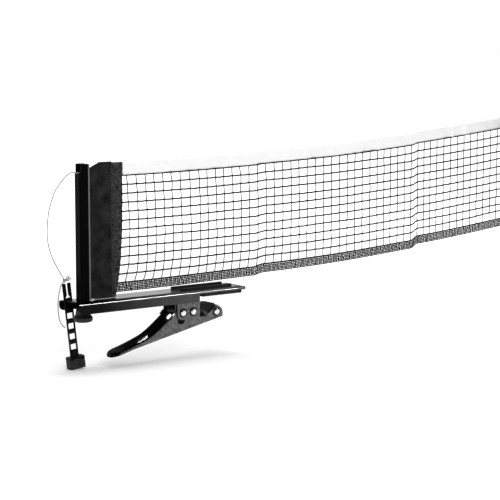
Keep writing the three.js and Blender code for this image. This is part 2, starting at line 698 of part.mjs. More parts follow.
// ---- The tension cord, drawn about the post's axis at the plate's top --------------------

// From the notch in the post, out in a wide bow, to the knot on the strap's fork, then its tail.
const cordRoute = [
  [-2.25, 0, 149.6], [-5.15, 0, 149.3], [-7.95, 0.2, 149.9], [-11.35, 0.5, 150.7], [-14.95, 0.9, 149.7],
  [-18.35, 1.7, 147.2], [-22.45, 2.5, 143.4], [-25.85, 3.4, 138.9], [-29.55, 4.2, 134],
  [-32.65, 5.1, 128.8], [-35.05, 5.9, 122.5], [-36.85, 6.7, 116.2], [-38.25, 7.6, 110.5],
  [-39.35, 8.4, 104.1], [-40.15, 9.3, 94.3], [-40.45, 10.1, 82.7], [-39.55, 10.9, 73.3],
  [-37.55, 11.8, 64.5], [-33.65, 12.6, 54.1], [-28.05, 13.5, 43.5], [-22.55, 14.3, 34.8],
  [-17.95, 15.2, 28], [-15.45, 15.7, 24.7], [-14.95, 15.9, 22.9], [-16.15, 16, 21.6], [-19.25, 15.7, 19.1],
  [-21.15, 15.6, 14.7], [-23.45, 15.2, 6.1], [-24.65, 14.9, -2], [-24.85, 14.5, -10.2],
  [-24.15, 14.1, -19], [-22.25, 13.6, -25.4], [-19.85, 12.9, -29.2], [-17.05, 12.2, -31.3],
];

function tensionCord() {
  const points = cordRoute.map((p) => new THREE.Vector3(...p));
  const curve = new THREE.CatmullRomCurve3(points, false, "centripetal");
  console.log("tension cord, length: " + curve.getLength().toFixed(1) + " mm");
  return solidOf(tube(curve, cord.diameter, cord.sides, cord.steps));
}

// ---- Assembly ---------------------------------------------------------------------------

const frameGroup = new THREE.Group();
clamp.add(frameGroup);
add(frameGroup, "jaw_rail", jawRail(), blackPaint);
add(frameGroup, "lever_bracket", leverBracket(), blackPaint);
add(frameGroup, "post_bridge", postBridge(), blackPaint);
add(frameGroup, "jaw_pad", jawPad(), blackRubber);
add(frameGroup, "pivot_rivet", domedRivet(bracket.width / 2, pivotX, pivotZ), nickel);
const stopPlace = [pivotX + stop.fromPivot, pivotZ + stop.abovePivot];
add(frameGroup, "stop_rivet", domedRivet(bracket.width / 2, ...stopPlace), nickel);
add(frameGroup, "pivot_spacer", spacerTube(lever.halfWidth - sheet - gap, pivotX, pivotZ), nickel);
add(frameGroup, "stop_spacer", spacerTube(bracketInside - gap, ...stopPlace), nickel);
add(frameGroup, "torsion_spring", torsionSpring(), springSteel);

const leverGroup = new THREE.Group();
leverGroup.position.set(pivotX, 0, pivotZ);
clamp.add(leverGroup);
add(leverGroup, "squeeze_lever", squeezeLever(), blackPaint);
const shoeGroup = new THREE.Group();
shoeGroup.position.set(nose.x, 0, nose.z);
leverGroup.add(shoeGroup);
add(shoeGroup, "shoe_rivet", domedRivet(lever.halfWidth, 0, 0), nickel);
add(shoeGroup, "jaw_shoe", jawShoe(), blackPlastic);
add(shoeGroup, "shoe_pad", shoePad(), blackRubber);

const postGroup = new THREE.Group();
postGroup.position.set(postX, 0, plateTop);
clamp.add(postGroup);
add(postGroup, "net_post", netPost(), blackPaint);
add(postGroup, "post_foot", postFoot(), blackPlastic);
add(postGroup, "height_screw", heightScrew(), nickel);
add(postGroup, "screw_collar", screwCollar(), nickel);
add(postGroup, "height_knob", heightKnob(), blackPlastic);
add(postGroup, "net_sleeve", netSleeve(), blackFabric);
add(postGroup, "sleeve_rod", sleeveRod(), blackPlastic);
add(postGroup, "net_mesh", netMesh(), blackThread);
add(postGroup, "net_band", netStrip(-net.bandHeight, -gap, cloth.band), blackThread);
add(postGroup, "net_tape", netStrip(net.height + gap, net.height + net.tapeHeight, cloth.tape), whiteTape);
add(postGroup, "net_roll", netRoll(), blackThread);
add(postGroup, "far_sleeve", farSleeve(), blackFabric);

const strapGroup = new THREE.Group();
strapGroup.position.set(postX - strapPlace.fromPost, strapPlace.behind, plateTop - sheet / 2);
strapGroup.rotation.y = -lean;
clamp.add(strapGroup);
add(strapGroup, "tension_strap", tensionStrap(), blackPlastic);
add(postGroup, "tension_cord", tensionCord(), whiteCord);

export default clamp;
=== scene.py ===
import math

import bpy
import numpy as np
from bpy.props import FloatProperty, FloatVectorProperty, IntProperty, PointerProperty
from mathutils import Matrix, Vector


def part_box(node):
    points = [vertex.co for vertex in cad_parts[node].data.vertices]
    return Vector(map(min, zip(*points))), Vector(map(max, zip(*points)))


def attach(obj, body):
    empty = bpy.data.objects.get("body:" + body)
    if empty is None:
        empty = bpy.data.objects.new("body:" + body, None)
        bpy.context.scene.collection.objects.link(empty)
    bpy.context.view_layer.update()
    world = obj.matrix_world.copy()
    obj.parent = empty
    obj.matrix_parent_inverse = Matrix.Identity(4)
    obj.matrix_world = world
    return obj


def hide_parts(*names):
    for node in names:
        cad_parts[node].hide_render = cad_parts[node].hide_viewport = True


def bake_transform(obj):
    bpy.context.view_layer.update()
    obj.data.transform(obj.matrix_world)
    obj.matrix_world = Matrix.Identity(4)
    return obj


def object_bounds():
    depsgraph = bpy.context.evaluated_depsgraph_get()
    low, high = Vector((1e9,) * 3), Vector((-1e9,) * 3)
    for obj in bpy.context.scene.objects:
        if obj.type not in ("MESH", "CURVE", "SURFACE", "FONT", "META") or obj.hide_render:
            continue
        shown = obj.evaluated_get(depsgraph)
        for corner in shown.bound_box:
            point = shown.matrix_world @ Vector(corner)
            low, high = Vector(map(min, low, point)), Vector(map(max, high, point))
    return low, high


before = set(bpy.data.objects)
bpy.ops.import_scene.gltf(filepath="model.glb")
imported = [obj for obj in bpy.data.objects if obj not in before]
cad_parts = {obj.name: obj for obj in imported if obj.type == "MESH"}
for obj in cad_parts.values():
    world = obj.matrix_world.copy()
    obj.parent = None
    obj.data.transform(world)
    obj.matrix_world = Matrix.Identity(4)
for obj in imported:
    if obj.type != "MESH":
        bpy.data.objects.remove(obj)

bl_info = {
    "name": "Net clamp finishes",
    "version": (1, 0, 0),
    "blender": (4, 5, 0),
    "location": "3D View > Sidebar > Net clamp",
    "description": "Cloth, threads, cord, rivets and finishes for a table tennis net clamp",
    "category": "Object",
}

MM = 0.001
CAD_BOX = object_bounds()
POST_LOW, POST_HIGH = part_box("net_post")
POST_X = (POST_LOW.x + POST_HIGH.x) / 2
PLATE_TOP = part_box("jaw_rail")[1].z
# Each rivet and the body that carries it.
RIVETS = {"pivot_rivet": "frame", "stop_rivet": "frame", "shoe_rivet": "lever"}


# ---- Sizes and colours ----------------------------------------------------------------


def size(name, text, value, low=0.0, high=5.0):
    """A length in metres that a user may change."""
    return FloatProperty(name=name, description=text, default=value, min=low, max=high,
                         unit="LENGTH", subtype="DISTANCE", precision=5)


def angle(name, text, degrees):
    """A turn that a user may change, written here in degrees."""
    return FloatProperty(name=name, description=text, default=math.radians(degrees),
                         unit="ROTATION", subtype="ANGLE")


def number(name, text, value, low=0.0, high=1000.0, **kind):
    """A plain number, or one of the kind given, that a user may change."""
    return FloatProperty(name=name, description=text, default=value, min=low, max=high, **kind)


def whole(name, text, value):
    """A whole number that a user may change."""
    return IntProperty(name=name, description=text, default=value, min=1)


def colour(name, text, value):
    """A colour that a user may change."""
    return FloatVectorProperty(name=name, description=text, default=value, min=0.0, max=1.0,
                               size=3, subtype="COLOR")


class StudioSizes(bpy.types.PropertyGroup):
    lens: number("Lens", "Focal length on a 36 mm sensor", 118.8, 20, 400, unit="CAMERA")
    eye: FloatVectorProperty(name="Camera", description="Where the camera stands",
                             default=(-1.1746, -1.6355, 0.3038), size=3,
                             unit="LENGTH", subtype="TRANSLATION")
    turn: angle("Turn", "The camera's turn from +Y towards +X", 37)
    dip: angle("Dip", "How far the camera looks down", 7.1)
    floor_gap: size("Floor gap", "Between the lowest point of the clamp and the floor", 0.0004)
    floor_size: size("Floor size", "Side of the floor", 9.0, 1, 50)
    key_power: number("Key light", "Power of the front softbox", 30, unit="POWER")
    sky: number("Sky", "Strength of the plain light all round", 0.6, 0, 2)


class NetSizes(bpy.types.PropertyGroup):
    start: size("Start", "Where the net leaves its sleeve, from the post's axis", 0.0552)
    end: size("End", "Where the flat net meets its roll", 0.710)
    base: size("Base", "Height of the mesh's foot over the rail", 0.017)
    rise: size("Rise", "How much the net rises towards its roll", 0.034)
    rise_from: size("Rise from", "Where the rise begins", 0.064)
    rise_span: size("Rise span", "Over what length it rises", 0.598)
    rise_power: number("Rise power", "How the rise bends", 1.8)
    bow: size("Bow", "How far the net sags towards the front", 0.010)
    bow_at: size("Bow at", "Where it sags most", 0.415)
    bow_spread: size("Bow spread", "How wide the sag is", 0.120)
    slant: size("Slant", "How far the first thread hooks back at its foot", 0.0078)
    belly: size("Belly", "How far the first thread bows out lower down", 0.0044)
    fade: size("Fade", "Over what length the threads straighten", 0.350)
    edge: size("Edge", "How far the sleeve's edge runs back at its foot", 0.0106)
    height: size("Mesh height", "Between the band and the tape", 0.127)
    rows: whole("Rows", "Openings one over the other", 12)
    pitch: size("Column pitch", "Between two upright threads", 0.0128)
    first: size("First thread", "Where the first upright thread stands", 0.0617)
    thread: size("Thread", "Diameter of a level thread", 0.0020)
    upright: number("Upright", "Radius of an upright thread over a level one's diameter", 0.31)
    knot: size("Knot", "Half the width of a knot", 0.0010)
    shift: size("Shift", "How far off its even place an upright thread stands", 0.0003)
    wobble: size("Wobble", "How far an upright thread wavers between two knots", 0.00028)
    crease: size("Crease", "How far a soft fold draws the upright threads together", 0.0016)
    drift: size("Drift", "How far a level thread wanders up and down", 0.0005)
    tuck: size("Tuck", "How far the level threads reach under the sleeve's edge", 0.0008)
    sag: size("Sag", "How far a level thread sags between two knots", 0.00045)
    band: size("Band height", "Height of the close band under the mesh", 0.0102)
    band_pitch: size("Band pitch", "Between two threads of the band", 0.0020)
    band_thread: size("Band thread", "Half the width of the band's upright threads", 0.00065)
    band_line: size("Band line", "Half the width of the band's level threads", 0.00061)
    band_jitter: size("Band jitter", "How far its upright threads waver", 0.00036)
    band_ripple: size("Band ripple", "How far its level threads waver", 0.00012)
    hem: size("Hem", "Radius of the cord under the band", 0.00060)
    tape: size("Tape height", "Height of the tape over the mesh", 0.0155)
    tape_thickness: size("Tape thickness", "Over both its layers", 0.0014)
    pucker: size("Pucker", "How far the tape's wide folds stand out", 0.0022)
    ripple: size("Ripple", "How far the narrow folds at its lower edge stand out", 0.0009)
    dip: size("Dip", "How far its upper edge rises and falls", 0.0008)
    roll_core: size("Roll core", "Inner radius of the roll", 0.011)
    roll_pitch: size("Roll pitch", "Between two turns of the roll", 0.0042)
    roll_turns: whole("Roll turns", "Turns in the roll", 7)


class SleeveSizes(bpy.types.PropertyGroup):
    inner: size("Inner edge", "Where the cloth meets the rod in the post", 0.0034)
    outside: size("Outside", "Where the cloth is clear of the post", 0.0100)
    seam: size("Seam", "Where the laced edging is sewn on", 0.0405)
    reach_top: size("Reach at the top", "From the post's axis", 0.0557)
    reach_foot: size("Reach at the foot", "From the post's axis", 0.0450)
    top: size("Top", "Height over the rail", 0.1611)
    foot: size("Foot", "Height over the rail", 0.0004)
    thickness: size("Thickness", "Of the doubled cloth", 0.0016)
    shoulder: size("Shoulder", "How much lower its top is at the post", 0.0070)
    shoulder_run: size("Shoulder run", "Over what length the top rises", 0.014)
    tongue_drop: size("Tongue drop", "How much lower still its top is at the rod", 0.0022)
    tongue_foot: size("Tongue foot", "Height over the rail of its foot in the post", 0.0050)
    corner_lift: size("Corner lift", "How high the foot's corner is lifted", 0.0046)
    corner_at: size("Corner at", "Where it is lifted most", 0.0135)
    corner_width: size("Corner width", "How wide the lifted corner is", 0.0016)
    fold: size("Fold", "How far its drapes stand out", 0.0005)
    fray: size("Fray", "How far the edging's free edge wavers", 0.0002)
    ripple: size("Far ripple", "How far the far sleeve's wider ripple stands out", 0.00035)
    stitch: size("Stitch", "Length of one stitch", 0.0022)
    stitch_gap: size("Stitch gap", "From one stitch to the next", 0.0034)
    stitch_thread: size("Stitch thread", "Radius of the sewing thread", 0.00028)
    rod: size("Far rod", "Radius of the rod in the far sleeve", 0.0032)


class CordSizes(bpy.types.PropertyGroup):
    diameter: size("Diameter", "Of the cord", 0.0013)
    length: size("Length", "Of the cord from the post to its tail's end", 0.2145)


class MetalSizes(bpy.types.PropertyGroup):
    head: size("Head", "Radius of a rivet's head", 0.0039)
    dome: size("Dome", "Height of a rivet's dome", 0.00176)
    shank: size("Shank", "Radius of a rivet's shank", 0.0029)
    lip: size("Lip", "Radius of the lip beside the post's slot", 0.0011)
    coil: size("Coil", "Middle radius of the spring's coil", 0.0066)
    coil_width: size("Coil width", "From the first turn to the last", 0.019)
    turns: whole("Turns", "Turns of the spring", 6)
    wire: size("Wire", "Diameter of the spring's wire", 0.0024)
    flutes: whole("Flutes", "Hollows round the knob's rim", 12)
    flute_depth: size("Flute depth", "Of the hollows in the knob's rim", 0.0009)


class FinishColours(bpy.types.PropertyGroup):
    black_paint: colour("Black paint", "Rail and post", (0.0030, 0.0030, 0.0032))
    # Painted light: the lever and bracket are one paint, shown in this lit grey on their outer
    # sides.
    lit_side_paint: colour("Grey metal", "Lever and bracket", (0.105, 0.106, 0.108))
    nickel: colour("Nickel", "Rivets and screw", (0.80, 0.80, 0.81))
    spring_steel: colour("Spring steel", "Spring", (0.05, 0.05, 0.052))
    black_plastic: colour("Black plastic", "Strap, knob and shoe", (0.0040, 0.0040, 0.0042))
    black_rubber: colour("Black rubber", "Jaw covers", (0.0060, 0.0060, 0.0062))
    black_fabric: colour("Black cloth", "Sleeve", (0.0055, 0.0055, 0.0058))
    black_thread: colour("Black thread", "Net", (0.0040, 0.0040, 0.0042))
    white_tape: colour("White tape", "Top edge of the net", (0.80, 0.80, 0.80))
    white_cord: colour("White cord", "Tension cord", (0.30, 0.30, 0.297))
    # Painted highlight along the crests of the strap's grip.
    crest_highlight: colour("Rubbed plastic", "Crests of the strap's grip", (0.13, 0.13, 0.132))
    floor: colour("Floor", "Floor and backdrop", (0.80, 0.80, 0.80))


# ---- Surfaces worked out as arrays ------------------------------------------------------

SPAN_STEPS = 24  # points between two given points of a smooth path


def unit(a):
    """Each vector over its own length."""
    return a / np.maximum(np.linalg.norm(a, axis=-1, keepdims=True), 1e-12)


def smooth_path(points, count):
    """A centripetal spline through the points: on each span a Hermite cubic whose end slopes are
    weighted by the square roots of the spans' lengths, then taken at even steps of its length."""
    p = np.asarray(points, float)
    p = np.vstack([2 * p[0] - p[1], p, 2 * p[-1] - p[-2]])
    dt = np.sqrt(np.linalg.norm(np.diff(p, axis=0), axis=1))
    d0, d1, d2 = dt[:-2, None], dt[1:-1, None], dt[2:, None]
    a, b, c, d = p[:-3], p[1:-2], p[2:-1], p[3:]
    m1 = d1 * ((b - a) / d0 - (c - a) / (d0 + d1) + (c - b) / d1)
    m2 = d1 * ((c - b) / d1 - (d - b) / (d1 + d2) + (d - c) / d2)
    t = np.linspace(0, 1, SPAN_STEPS, endpoint=False)[None, :, None]
    h = [2 * t**3 - 3 * t**2 + 1, t**3 - 2 * t**2 + t, -2 * t**3 + 3 * t**2, t**3 - t**2]
    dense = h[0] * b[:, None] + h[1] * m1[:, None] + h[2] * c[:, None] + h[3] * m2[:, None]
    dense = np.vstack([dense.reshape(-1, 3), p[-2]])
    return even_path(dense, count)


def steps_along(points):
    """The length of a line up to each of its points."""
    return np.concatenate([[0], np.cumsum(np.linalg.norm(np.diff(points, axis=0), axis=1))])


def points_at(points, places):
    """The points of a line at the given lengths along it."""
    along = steps_along(points)
    return np.stack([np.interp(places, along, points[:, k]) for k in range(3)], axis=-1)


def even_path(points, count):
    """The same line with count points at even steps of its length."""
    return points_at(points, np.linspace(0, steps_along(points)[-1], count))


def length_of(points):
    """The length of a line of points."""
    return float(np.linalg.norm(np.diff(points, axis=0), axis=1).sum())


def full_turn(steps):
    """Even angles round a circle, the last one a step short of the first."""
    return np.arange(steps) * 2 * np.pi / steps


class Mesh:
    """Vertices and faces gathered from grids, put into one Blender mesh at the end."""

    def __init__(self):
        self.points, self.faces, self.coords, self.count = [], [], [], 0

    def add_points(self, points):
        """Takes in points and gives the number of the first one."""
        base = self.count
        self.points.append(points.reshape(-1, 3))
        self.count += len(self.points[-1])
        return base

    def add_faces(self, faces, coords=None):
        """Takes in faces of one size, with the map's coordinates of their corners."""
        self.faces.append(faces)
        self.coords.append(np.zeros(faces.shape + (2,)) if coords is None else coords)

    def grids(self, points, around=False, closed=False, caps=False, scale=(1.0, 1.0)):
        """points is [grid, row, column, xyz]. around joins the last column to the first, closed
        the last row to the first, and caps fills the first and the last row's ring with one
        face. The map's coordinates are the column and the row, each times its scale."""
        count, rows, columns = points.shape[:3]
        base = self.add_points(points) + np.arange(count)[:, None, None] * rows * columns
        i = np.arange(rows if closed else rows - 1)[None, :, None]
        j = np.arange(columns if around else columns - 1)[None, None, :]
        i2, j2 = (i + 1) % rows, (j + 1) % columns
        corners = [(i, j), (i, j2), (i2, j2), (i2, j)]
        faces = np.stack([base + a * columns + b for a, b in corners], axis=-1)
        shape = faces.shape[:3]
        spots = [(j, i), (j + 1, i), (j + 1, i + 1), (j, i + 1)]
        coords = np.stack([np.stack([np.broadcast_to(u * scale[0], shape),
                                     np.broadcast_to(v * scale[1], shape)], axis=-1)
                           for u, v in spots], axis=-2)
        self.add_faces(faces.reshape(-1, 4), coords.reshape(-1, 4, 2))
        if caps:
            ring = np.arange(columns)
            self.add_faces(base[:, 0, :1] + ring[::-1])
            self.add_faces(base[:, 0, :1] + (rows - 1) * columns + ring)

    def tubes(self, lines, radius, side, sides=6, flat=1.0, closed=False):
        """A ring round each point of each line and square to it: point + radius (cos a first +
        flat sin a second). side is roughly the first axis, and flat makes an oval of it."""
        ahead = np.roll(lines, -1, axis=1) - np.roll(lines, 1, axis=1)
        if not closed:
            ahead[:, 0], ahead[:, -1] = lines[:, 1] - lines[:, 0], lines[:, -1] - lines[:, -2]
        ahead = unit(ahead)
        second = unit(np.cross(ahead, np.broadcast_to(np.asarray(side, float), lines.shape)))
        first = unit(np.cross(second, ahead))
        turn = full_turn(sides)
        radius = np.broadcast_to(np.asarray(radius, float), lines.shape[:2])[:, :, None, None]
        ring = (first[:, :, None] * np.cos(turn)[None, None, :, None]
                + second[:, :, None] * (flat * np.sin(turn))[None, None, :, None])
        step = length_of(lines[0]) / max(1, lines.shape[1] - 1)
        self.grids(lines[:, :, None] + radius * ring, around=True, closed=closed, caps=not closed,
                   scale=(1.0 / sides, step / MM))

    def build(self, name, material, smooth=True):
        """One object at the origin, with its place in its mesh."""
        data = bpy.data.meshes.new(name)
        points = np.concatenate(self.points)
        data.vertices.add(len(points))
        data.vertices.foreach_set("co", points.astype(np.float32).ravel())
        loops = np.concatenate([f.ravel() for f in self.faces]).astype(np.int32)
        sizes = np.concatenate([np.full(len(f), f.shape[1]) for f in self.faces])
        starts = np.concatenate([[0], np.cumsum(sizes)[:-1]]).astype(np.int32)
        data.loops.add(len(loops))
        data.loops.foreach_set("vertex_index", loops)
        data.polygons.add(len(sizes))
        data.polygons.foreach_set("loop_start", starts)
        data.update(calc_edges=True)
        coords = np.concatenate([c.reshape(-1) for c in self.coords]).astype(np.float32)
        data.uv_layers.new(name="Pattern").data.foreach_set("uv", coords)
        data.polygons.foreach_set("use_smooth", np.full(len(sizes), smooth))
        if data.validate():
            raise RuntimeError(name + " has faces that don't hold")
        data.materials.append(material)
        piece = bpy.data.objects.new(name, data)
        bpy.context.scene.collection.objects.link(piece)
        return piece


def skin(name, material, points, smooth=True, **kind):
    """An object of one grid of points, [row, column, xyz]."""
    mesh = Mesh()
    mesh.grids(points[None], **kind)
    return mesh.build(name, material, smooth)


def tube(name, material, line, radius, side, **kind):
    """An object of one tube along a line of points."""
    mesh = Mesh()
    mesh.tubes(line[None], radius, side, **kind)
    return mesh.build(name, material)


def sharp_over(piece, degrees):
    """Edges that turn by more than this stay sharp."""
    piece.data.set_sharp_from_angle(angle=math.radians(degrees))


def turned(profile, x, steps):
    """A profile of (radius, height) carried round an axis through x: columns of x + r cos a,
    r sin a and the height."""
    profile = np.asarray(profile, float)
    a = full_turn(steps)
    r, height = profile[:, :1], np.broadcast_to(profile[:, 1:], (len(profile), steps))
    return x + r * np.cos(a), r * np.sin(a), height


def turned_about_y(profile, x, z, steps):
    """A profile of (radius, y) turned about the Y axis through (x, z):
    x + r cos a, y, z + r sin a."""
    across, up, y = turned(profile, x, steps)
    return np.stack([across, y, z + up], axis=-1)


def turned_about_z(profile, x, steps):
    """A profile of (radius, z) turned about the Z axis through x: x + r cos a, r sin a, z."""
    return np.stack(turned(profile, x, steps), axis=-1)


# ---- Materials ------------------------------------------------------------------------

NOISE = (0.3, 0.7)  # most of a noise lies between these
WHITE = (1, 1, 1)


def times(color, factor):
    """The colour times the factor, at most white."""
    return tuple(min(1.0, c * factor) for c in color)


def ridges(pitch):
    """The scale of a wave whose ridges stand this far apart: 0.1 pi / pitch."""
    return 0.1 * math.pi / pitch


class Tree:
    """A tree of shader nodes, with short calls to add them and to join them."""

    def __init__(self, tree):
        self.tree = tree

    def put(self, value, socket):
        """A number, a vector, a colour or another node's output on a socket."""
        if isinstance(value, bpy.types.NodeSocket):
            self.tree.links.new(value, socket)
        elif socket.type == "RGBA":
            socket.default_value = (*value, 1)
        else:
            socket.default_value = value

    def node(self, kind, values, **settings):
        """A new node of the kind, with values on its sockets by their names or places."""
        node = self.tree.nodes.new("ShaderNode" + kind)
        for name, setting in settings.items():
            setattr(node, name, setting)
        for key, value in values.items():
            self.put(value, node.inputs[key])
        return node

    def math(self, kind, a, b):
        """The kind's result for a and b, such as their product."""
        return self.node("Math", {0: a, 1: b}, operation=kind).outputs["Value"]

    def span(self, source, low, high, to_low, to_high):
        """The source's range low..high carried to to_low..to_high."""
        values = {"Value": source, "From Min": low, "From Max": high,
                  "To Min": to_low, "To Max": to_high}
        return self.node("MapRange", values).outputs["Result"]

    def shade(self, source, low, high, first, second):
        """The first colour where the source is low, running to the second where it is high."""
        node = self.node("ValToRGB", {"Fac": source})
        for end, place, color in zip(node.color_ramp.elements, (low, high), (first, second)):
            end.position, end.color = place, (*color, 1)
        return node.outputs["Color"]

    def rays(self, *names):
        """1 for the kinds of ray that are named, and 0 for the rest."""
        path = self.node("LightPath", {})
        seen = path.outputs[names[0]]
        for name in names[1:]:
            seen = self.math("MAXIMUM", seen, path.outputs[name])
        return seen


class Finish(Tree):
    """A material round its main shader, with calls for the patterns that it is made of."""

    def __init__(self, name, color, roughness, metallic=0.0, specular=0.5):
        self.material = bpy.data.materials.new(name)
        self.material.use_nodes = True
        super().__init__(self.material.node_tree)
        self.shader = self.tree.nodes["Principled BSDF"]
        self.place = self.node("TexCoord", {})
        self.set({"Base Color": color, "Roughness": roughness, "Metallic": metallic,
                  "Specular IOR Level": specular})

    def set(self, values):
        """Values or other nodes' outputs on the main shader's sockets."""
        for name, value in values.items():
            self.put(value, self.shader.inputs[name])

    def stretch(self, scale=(1, 1, 1), source="Object", turn=(0, 0, 0)):
        """The place on the piece or on its map, scaled along each axis and then turned."""
        values = {"Vector": self.place.outputs[source], "Scale": scale, "Rotation": turn}
        return self.node("Mapping", values).outputs["Vector"]

    def axis(self, name):
        """The place along one axis, in metres."""
        split = self.node("SeparateXYZ", {"Vector": self.place.outputs["Object"]})
        return split.outputs[name]

    def noise(self, vector, scale, detail=3.0, roughness=0.55):
        """Clouds with about scale of them to a metre."""
        values = {"Vector": vector, "Scale": scale, "Detail": detail, "Roughness": roughness}
        return self.node("TexNoise", values).outputs["Fac"]

    def wave(self, vector, scale, direction="X", distortion=0.0):
        """Straight ridges across a direction, pi / (10 scale) apart."""
        values = {"Vector": vector, "Scale": scale, "Distortion": distortion}
        return self.node("TexWave", values, bands_direction=direction).outputs["Fac"]

    def cells(self, vector, scale):
        """Pits: the distance from the nearest of about scale points to a metre."""
        return self.node("TexVoronoi", {"Vector": vector, "Scale": scale}).outputs["Distance"]

    def tint(self, source, color, darker, lighter, low=NOISE[0], high=NOISE[1]):
        """The colour times one factor where the source is low and times another where it is
        high."""
        return self.shade(source, low, high, times(color, darker), times(color, lighter))

    def gloss(self, source, roughness, less, more, high=NOISE[1]):
        """The roughness times one factor, running to the other where the source is high."""
        self.set({"Roughness": self.span(source, NOISE[0], high, roughness * less,
                                         roughness * more)})

    def mix(self, factor, first, second):
        """The first colour where the factor is 0, and the second where it is 1."""
        values = {"Factor": factor, "A": first, "B": second}
        return self.node("Mix", values, data_type="RGBA").outputs["Result"]

    def bump(self, height, strength, distance):
        """Raises the surface by the height, over any bump that is there already."""
        values = {"Height": height, "Strength": strength, "Distance": distance}
        before = self.shader.inputs["Normal"].links
        if before:
            values["Normal"] = before[0].from_socket
        self.set({"Normal": self.node("Bump", values).outputs["Normal"]})


def paint(name, color, roughness, specular=0.5, painted_light_gradient=None, dark_reflection_strip=None):
    """Stoved paint: a faint orange-peel skin and a cloudy gloss. painted_light_gradient is
    (low, high, factor): the colour grows by the factor from low to high along X, a painted light.
    dark_reflection_strip is (middle, half, end): a strip that far to either side of the middle
    along
    Y has no gloss, nor has what lies past the end along X; the strip is a painted shade that stands
    in for a dark reflection."""
    n = Finish(name, color, roughness, specular=specular)
    place = n.stretch()
    peel = n.noise(place, 520, detail=2.0)
    cloud = n.noise(place, 38)
    n.gloss(cloud, roughness, 0.85, 1.2)
    base = n.tint(cloud, color, 0.85, 1.25)
    # Painted light: the colour brightens along X.
    if painted_light_gradient:
        low, high, factor = painted_light_gradient
        far = n.tint(cloud, color, 0.85 * factor, 1.25 * factor)
        base = n.mix(n.span(n.axis("X"), low, high, 0, 1), base, far)
    # Painted shade: no gloss in the strip, which stands in for a dark reflection.
    if dark_reflection_strip:
        middle, half, end = dark_reflection_strip
        away = n.math("ABSOLUTE", n.math("SUBTRACT", n.axis("Y"), middle), 0.0)
        outside = n.span(away, half * 0.8, half * 1.2, 0.0, specular)
        before = n.span(n.axis("X"), end - MM, end + MM, 1, 0)
        n.set({"Specular IOR Level": n.math("MULTIPLY", outside, before)})
    n.set({"Base Color": base})
    n.bump(peel, 0.25, 0.04 * MM)
    return n.material


def satin_metal(name, color, roughness, metallic):
    """Plated sheet: fine mottling and a fine tumbled grain, a little uneven in its gloss."""
    n = Finish(name, color, roughness, metallic)
    place = n.stretch()
    mottle = n.noise(place, 340, detail=4.0, roughness=0.7)
    n.set({"Base Color": n.tint(mottle, color, 0.45, 1.6, low=0.35, high=0.65)})
    n.gloss(n.noise(place, 30, detail=2.0), roughness, 0.88, 1.15)
    n.bump(mottle, 0.35, 0.06 * MM)
    return n.material


def bright_metal(name, color, roughness, streak=0.06):
    """Bright plate: hairline scratches in the gloss and a faint waviness."""
    n = Finish(name, color, roughness, metallic=1.0)
    place = n.stretch()
    hairlines = n.noise(n.stretch((900, 120, 900)), 1.0, detail=2.0)
    smoothest = max(0.02, roughness - streak / 2)
    n.set({"Roughness": n.span(hairlines, *NOISE, smoothest, roughness + streak),
           "Base Color": n.tint(n.noise(place, 90), color, 0.92, 1.0)})
    n.bump(n.noise(place, 160, detail=1.0), 0.08, 0.03 * MM)
    return n.material


def plastic(name, color, roughness, grain=620, depth=0.05 * MM, specular=0.14, ribs=None):
    """Moulded plastic: an even spark-eroded grain, scuffed a little lighter on its high spots.
    ribs is (top, pitch, lean, crest_highlight): below the top, crests that far apart and leaning
    by that angle are painted in that colour, a painted highlight."""
    n = Finish(name, color, roughness, specular=specular)
    sparks = n.noise(n.stretch(), grain, roughness=0.6)
    scuff = n.noise(n.stretch((1, 1, 0.35)), 150, detail=4.0, roughness=0.7)
    base = n.tint(scuff, color, 1.0, 2.0, low=0.35, high=0.72)
    if ribs:
        # Painted highlight on the crests of the grip.
        top, pitch, lean, crest_highlight = ribs
        crest = n.wave(n.stretch(turn=(0, -lean, 0)), ridges(pitch), "Z")
        crest = n.span(crest, 0.88, 0.99, 0, 1)
        crest = n.math("MULTIPLY", crest, n.math("LESS_THAN", n.axis("Z"), top))
        base = n.mix(crest, base, crest_highlight)
    n.set({"Base Color": base})
    n.gloss(scuff, roughness, 0.9, 1.25, high=0.75)
    n.bump(sparks, 0.4, depth)
    return n.material


def rubber(name, color):
    """Ribbed rubber: fine lines across the jaw, a matt bloom and small pits."""
    n = Finish(name, color, 0.62, specular=0.12)
    place = n.stretch()
    lines = n.wave(place, 160, "X")
    bloom = n.noise(place, 55, detail=4.0)
    n.set({"Base Color": n.tint(bloom, color, 1.0, 2.4, high=0.75)})
    n.bump(lines, 0.3, 0.10 * MM)
    n.bump(n.cells(place, 700), 0.2, 0.05 * MM)
    return n.material


def cloth(name, color, weave, fuzz, depth, spread, grain=120):
    """Plain weave on the piece's own threads: two crossed rows of ridges that go over and under
    by turns, with a short nap. The colour runs unevenly between its two factors in spread."""
    n = Finish(name, color, 0.85, specular=0.08)
    n.set({"Sheen Weight": fuzz, "Sheen Roughness": 0.5})
    warp = n.wave(n.stretch(source="UV"), weave, "X", distortion=0.6)
    weft = n.wave(n.stretch(source="UV"), weave, "Y", distortion=0.6)
    woven = n.math("MAXIMUM", n.math("MULTIPLY", warp, 0.9), weft)
    uneven = n.noise(n.stretch(), grain, detail=4.0)
    n.set({"Base Color": n.tint(uneven, color, *spread, high=0.75)})
    n.bump(woven, 0.55, depth)
    n.bump(uneven, 0.25, 0.2 * MM)
    return n.material


def wound(n, degrees, scale, across=1, distortion=0.0):
    """Ridges that wind round a thread or a cord: a wave over its length plus its turn."""
    turn = (0, 0, math.radians(degrees))
    return n.wave(n.stretch((across, 1, 1), "UV", turn), scale, "Y", distortion)


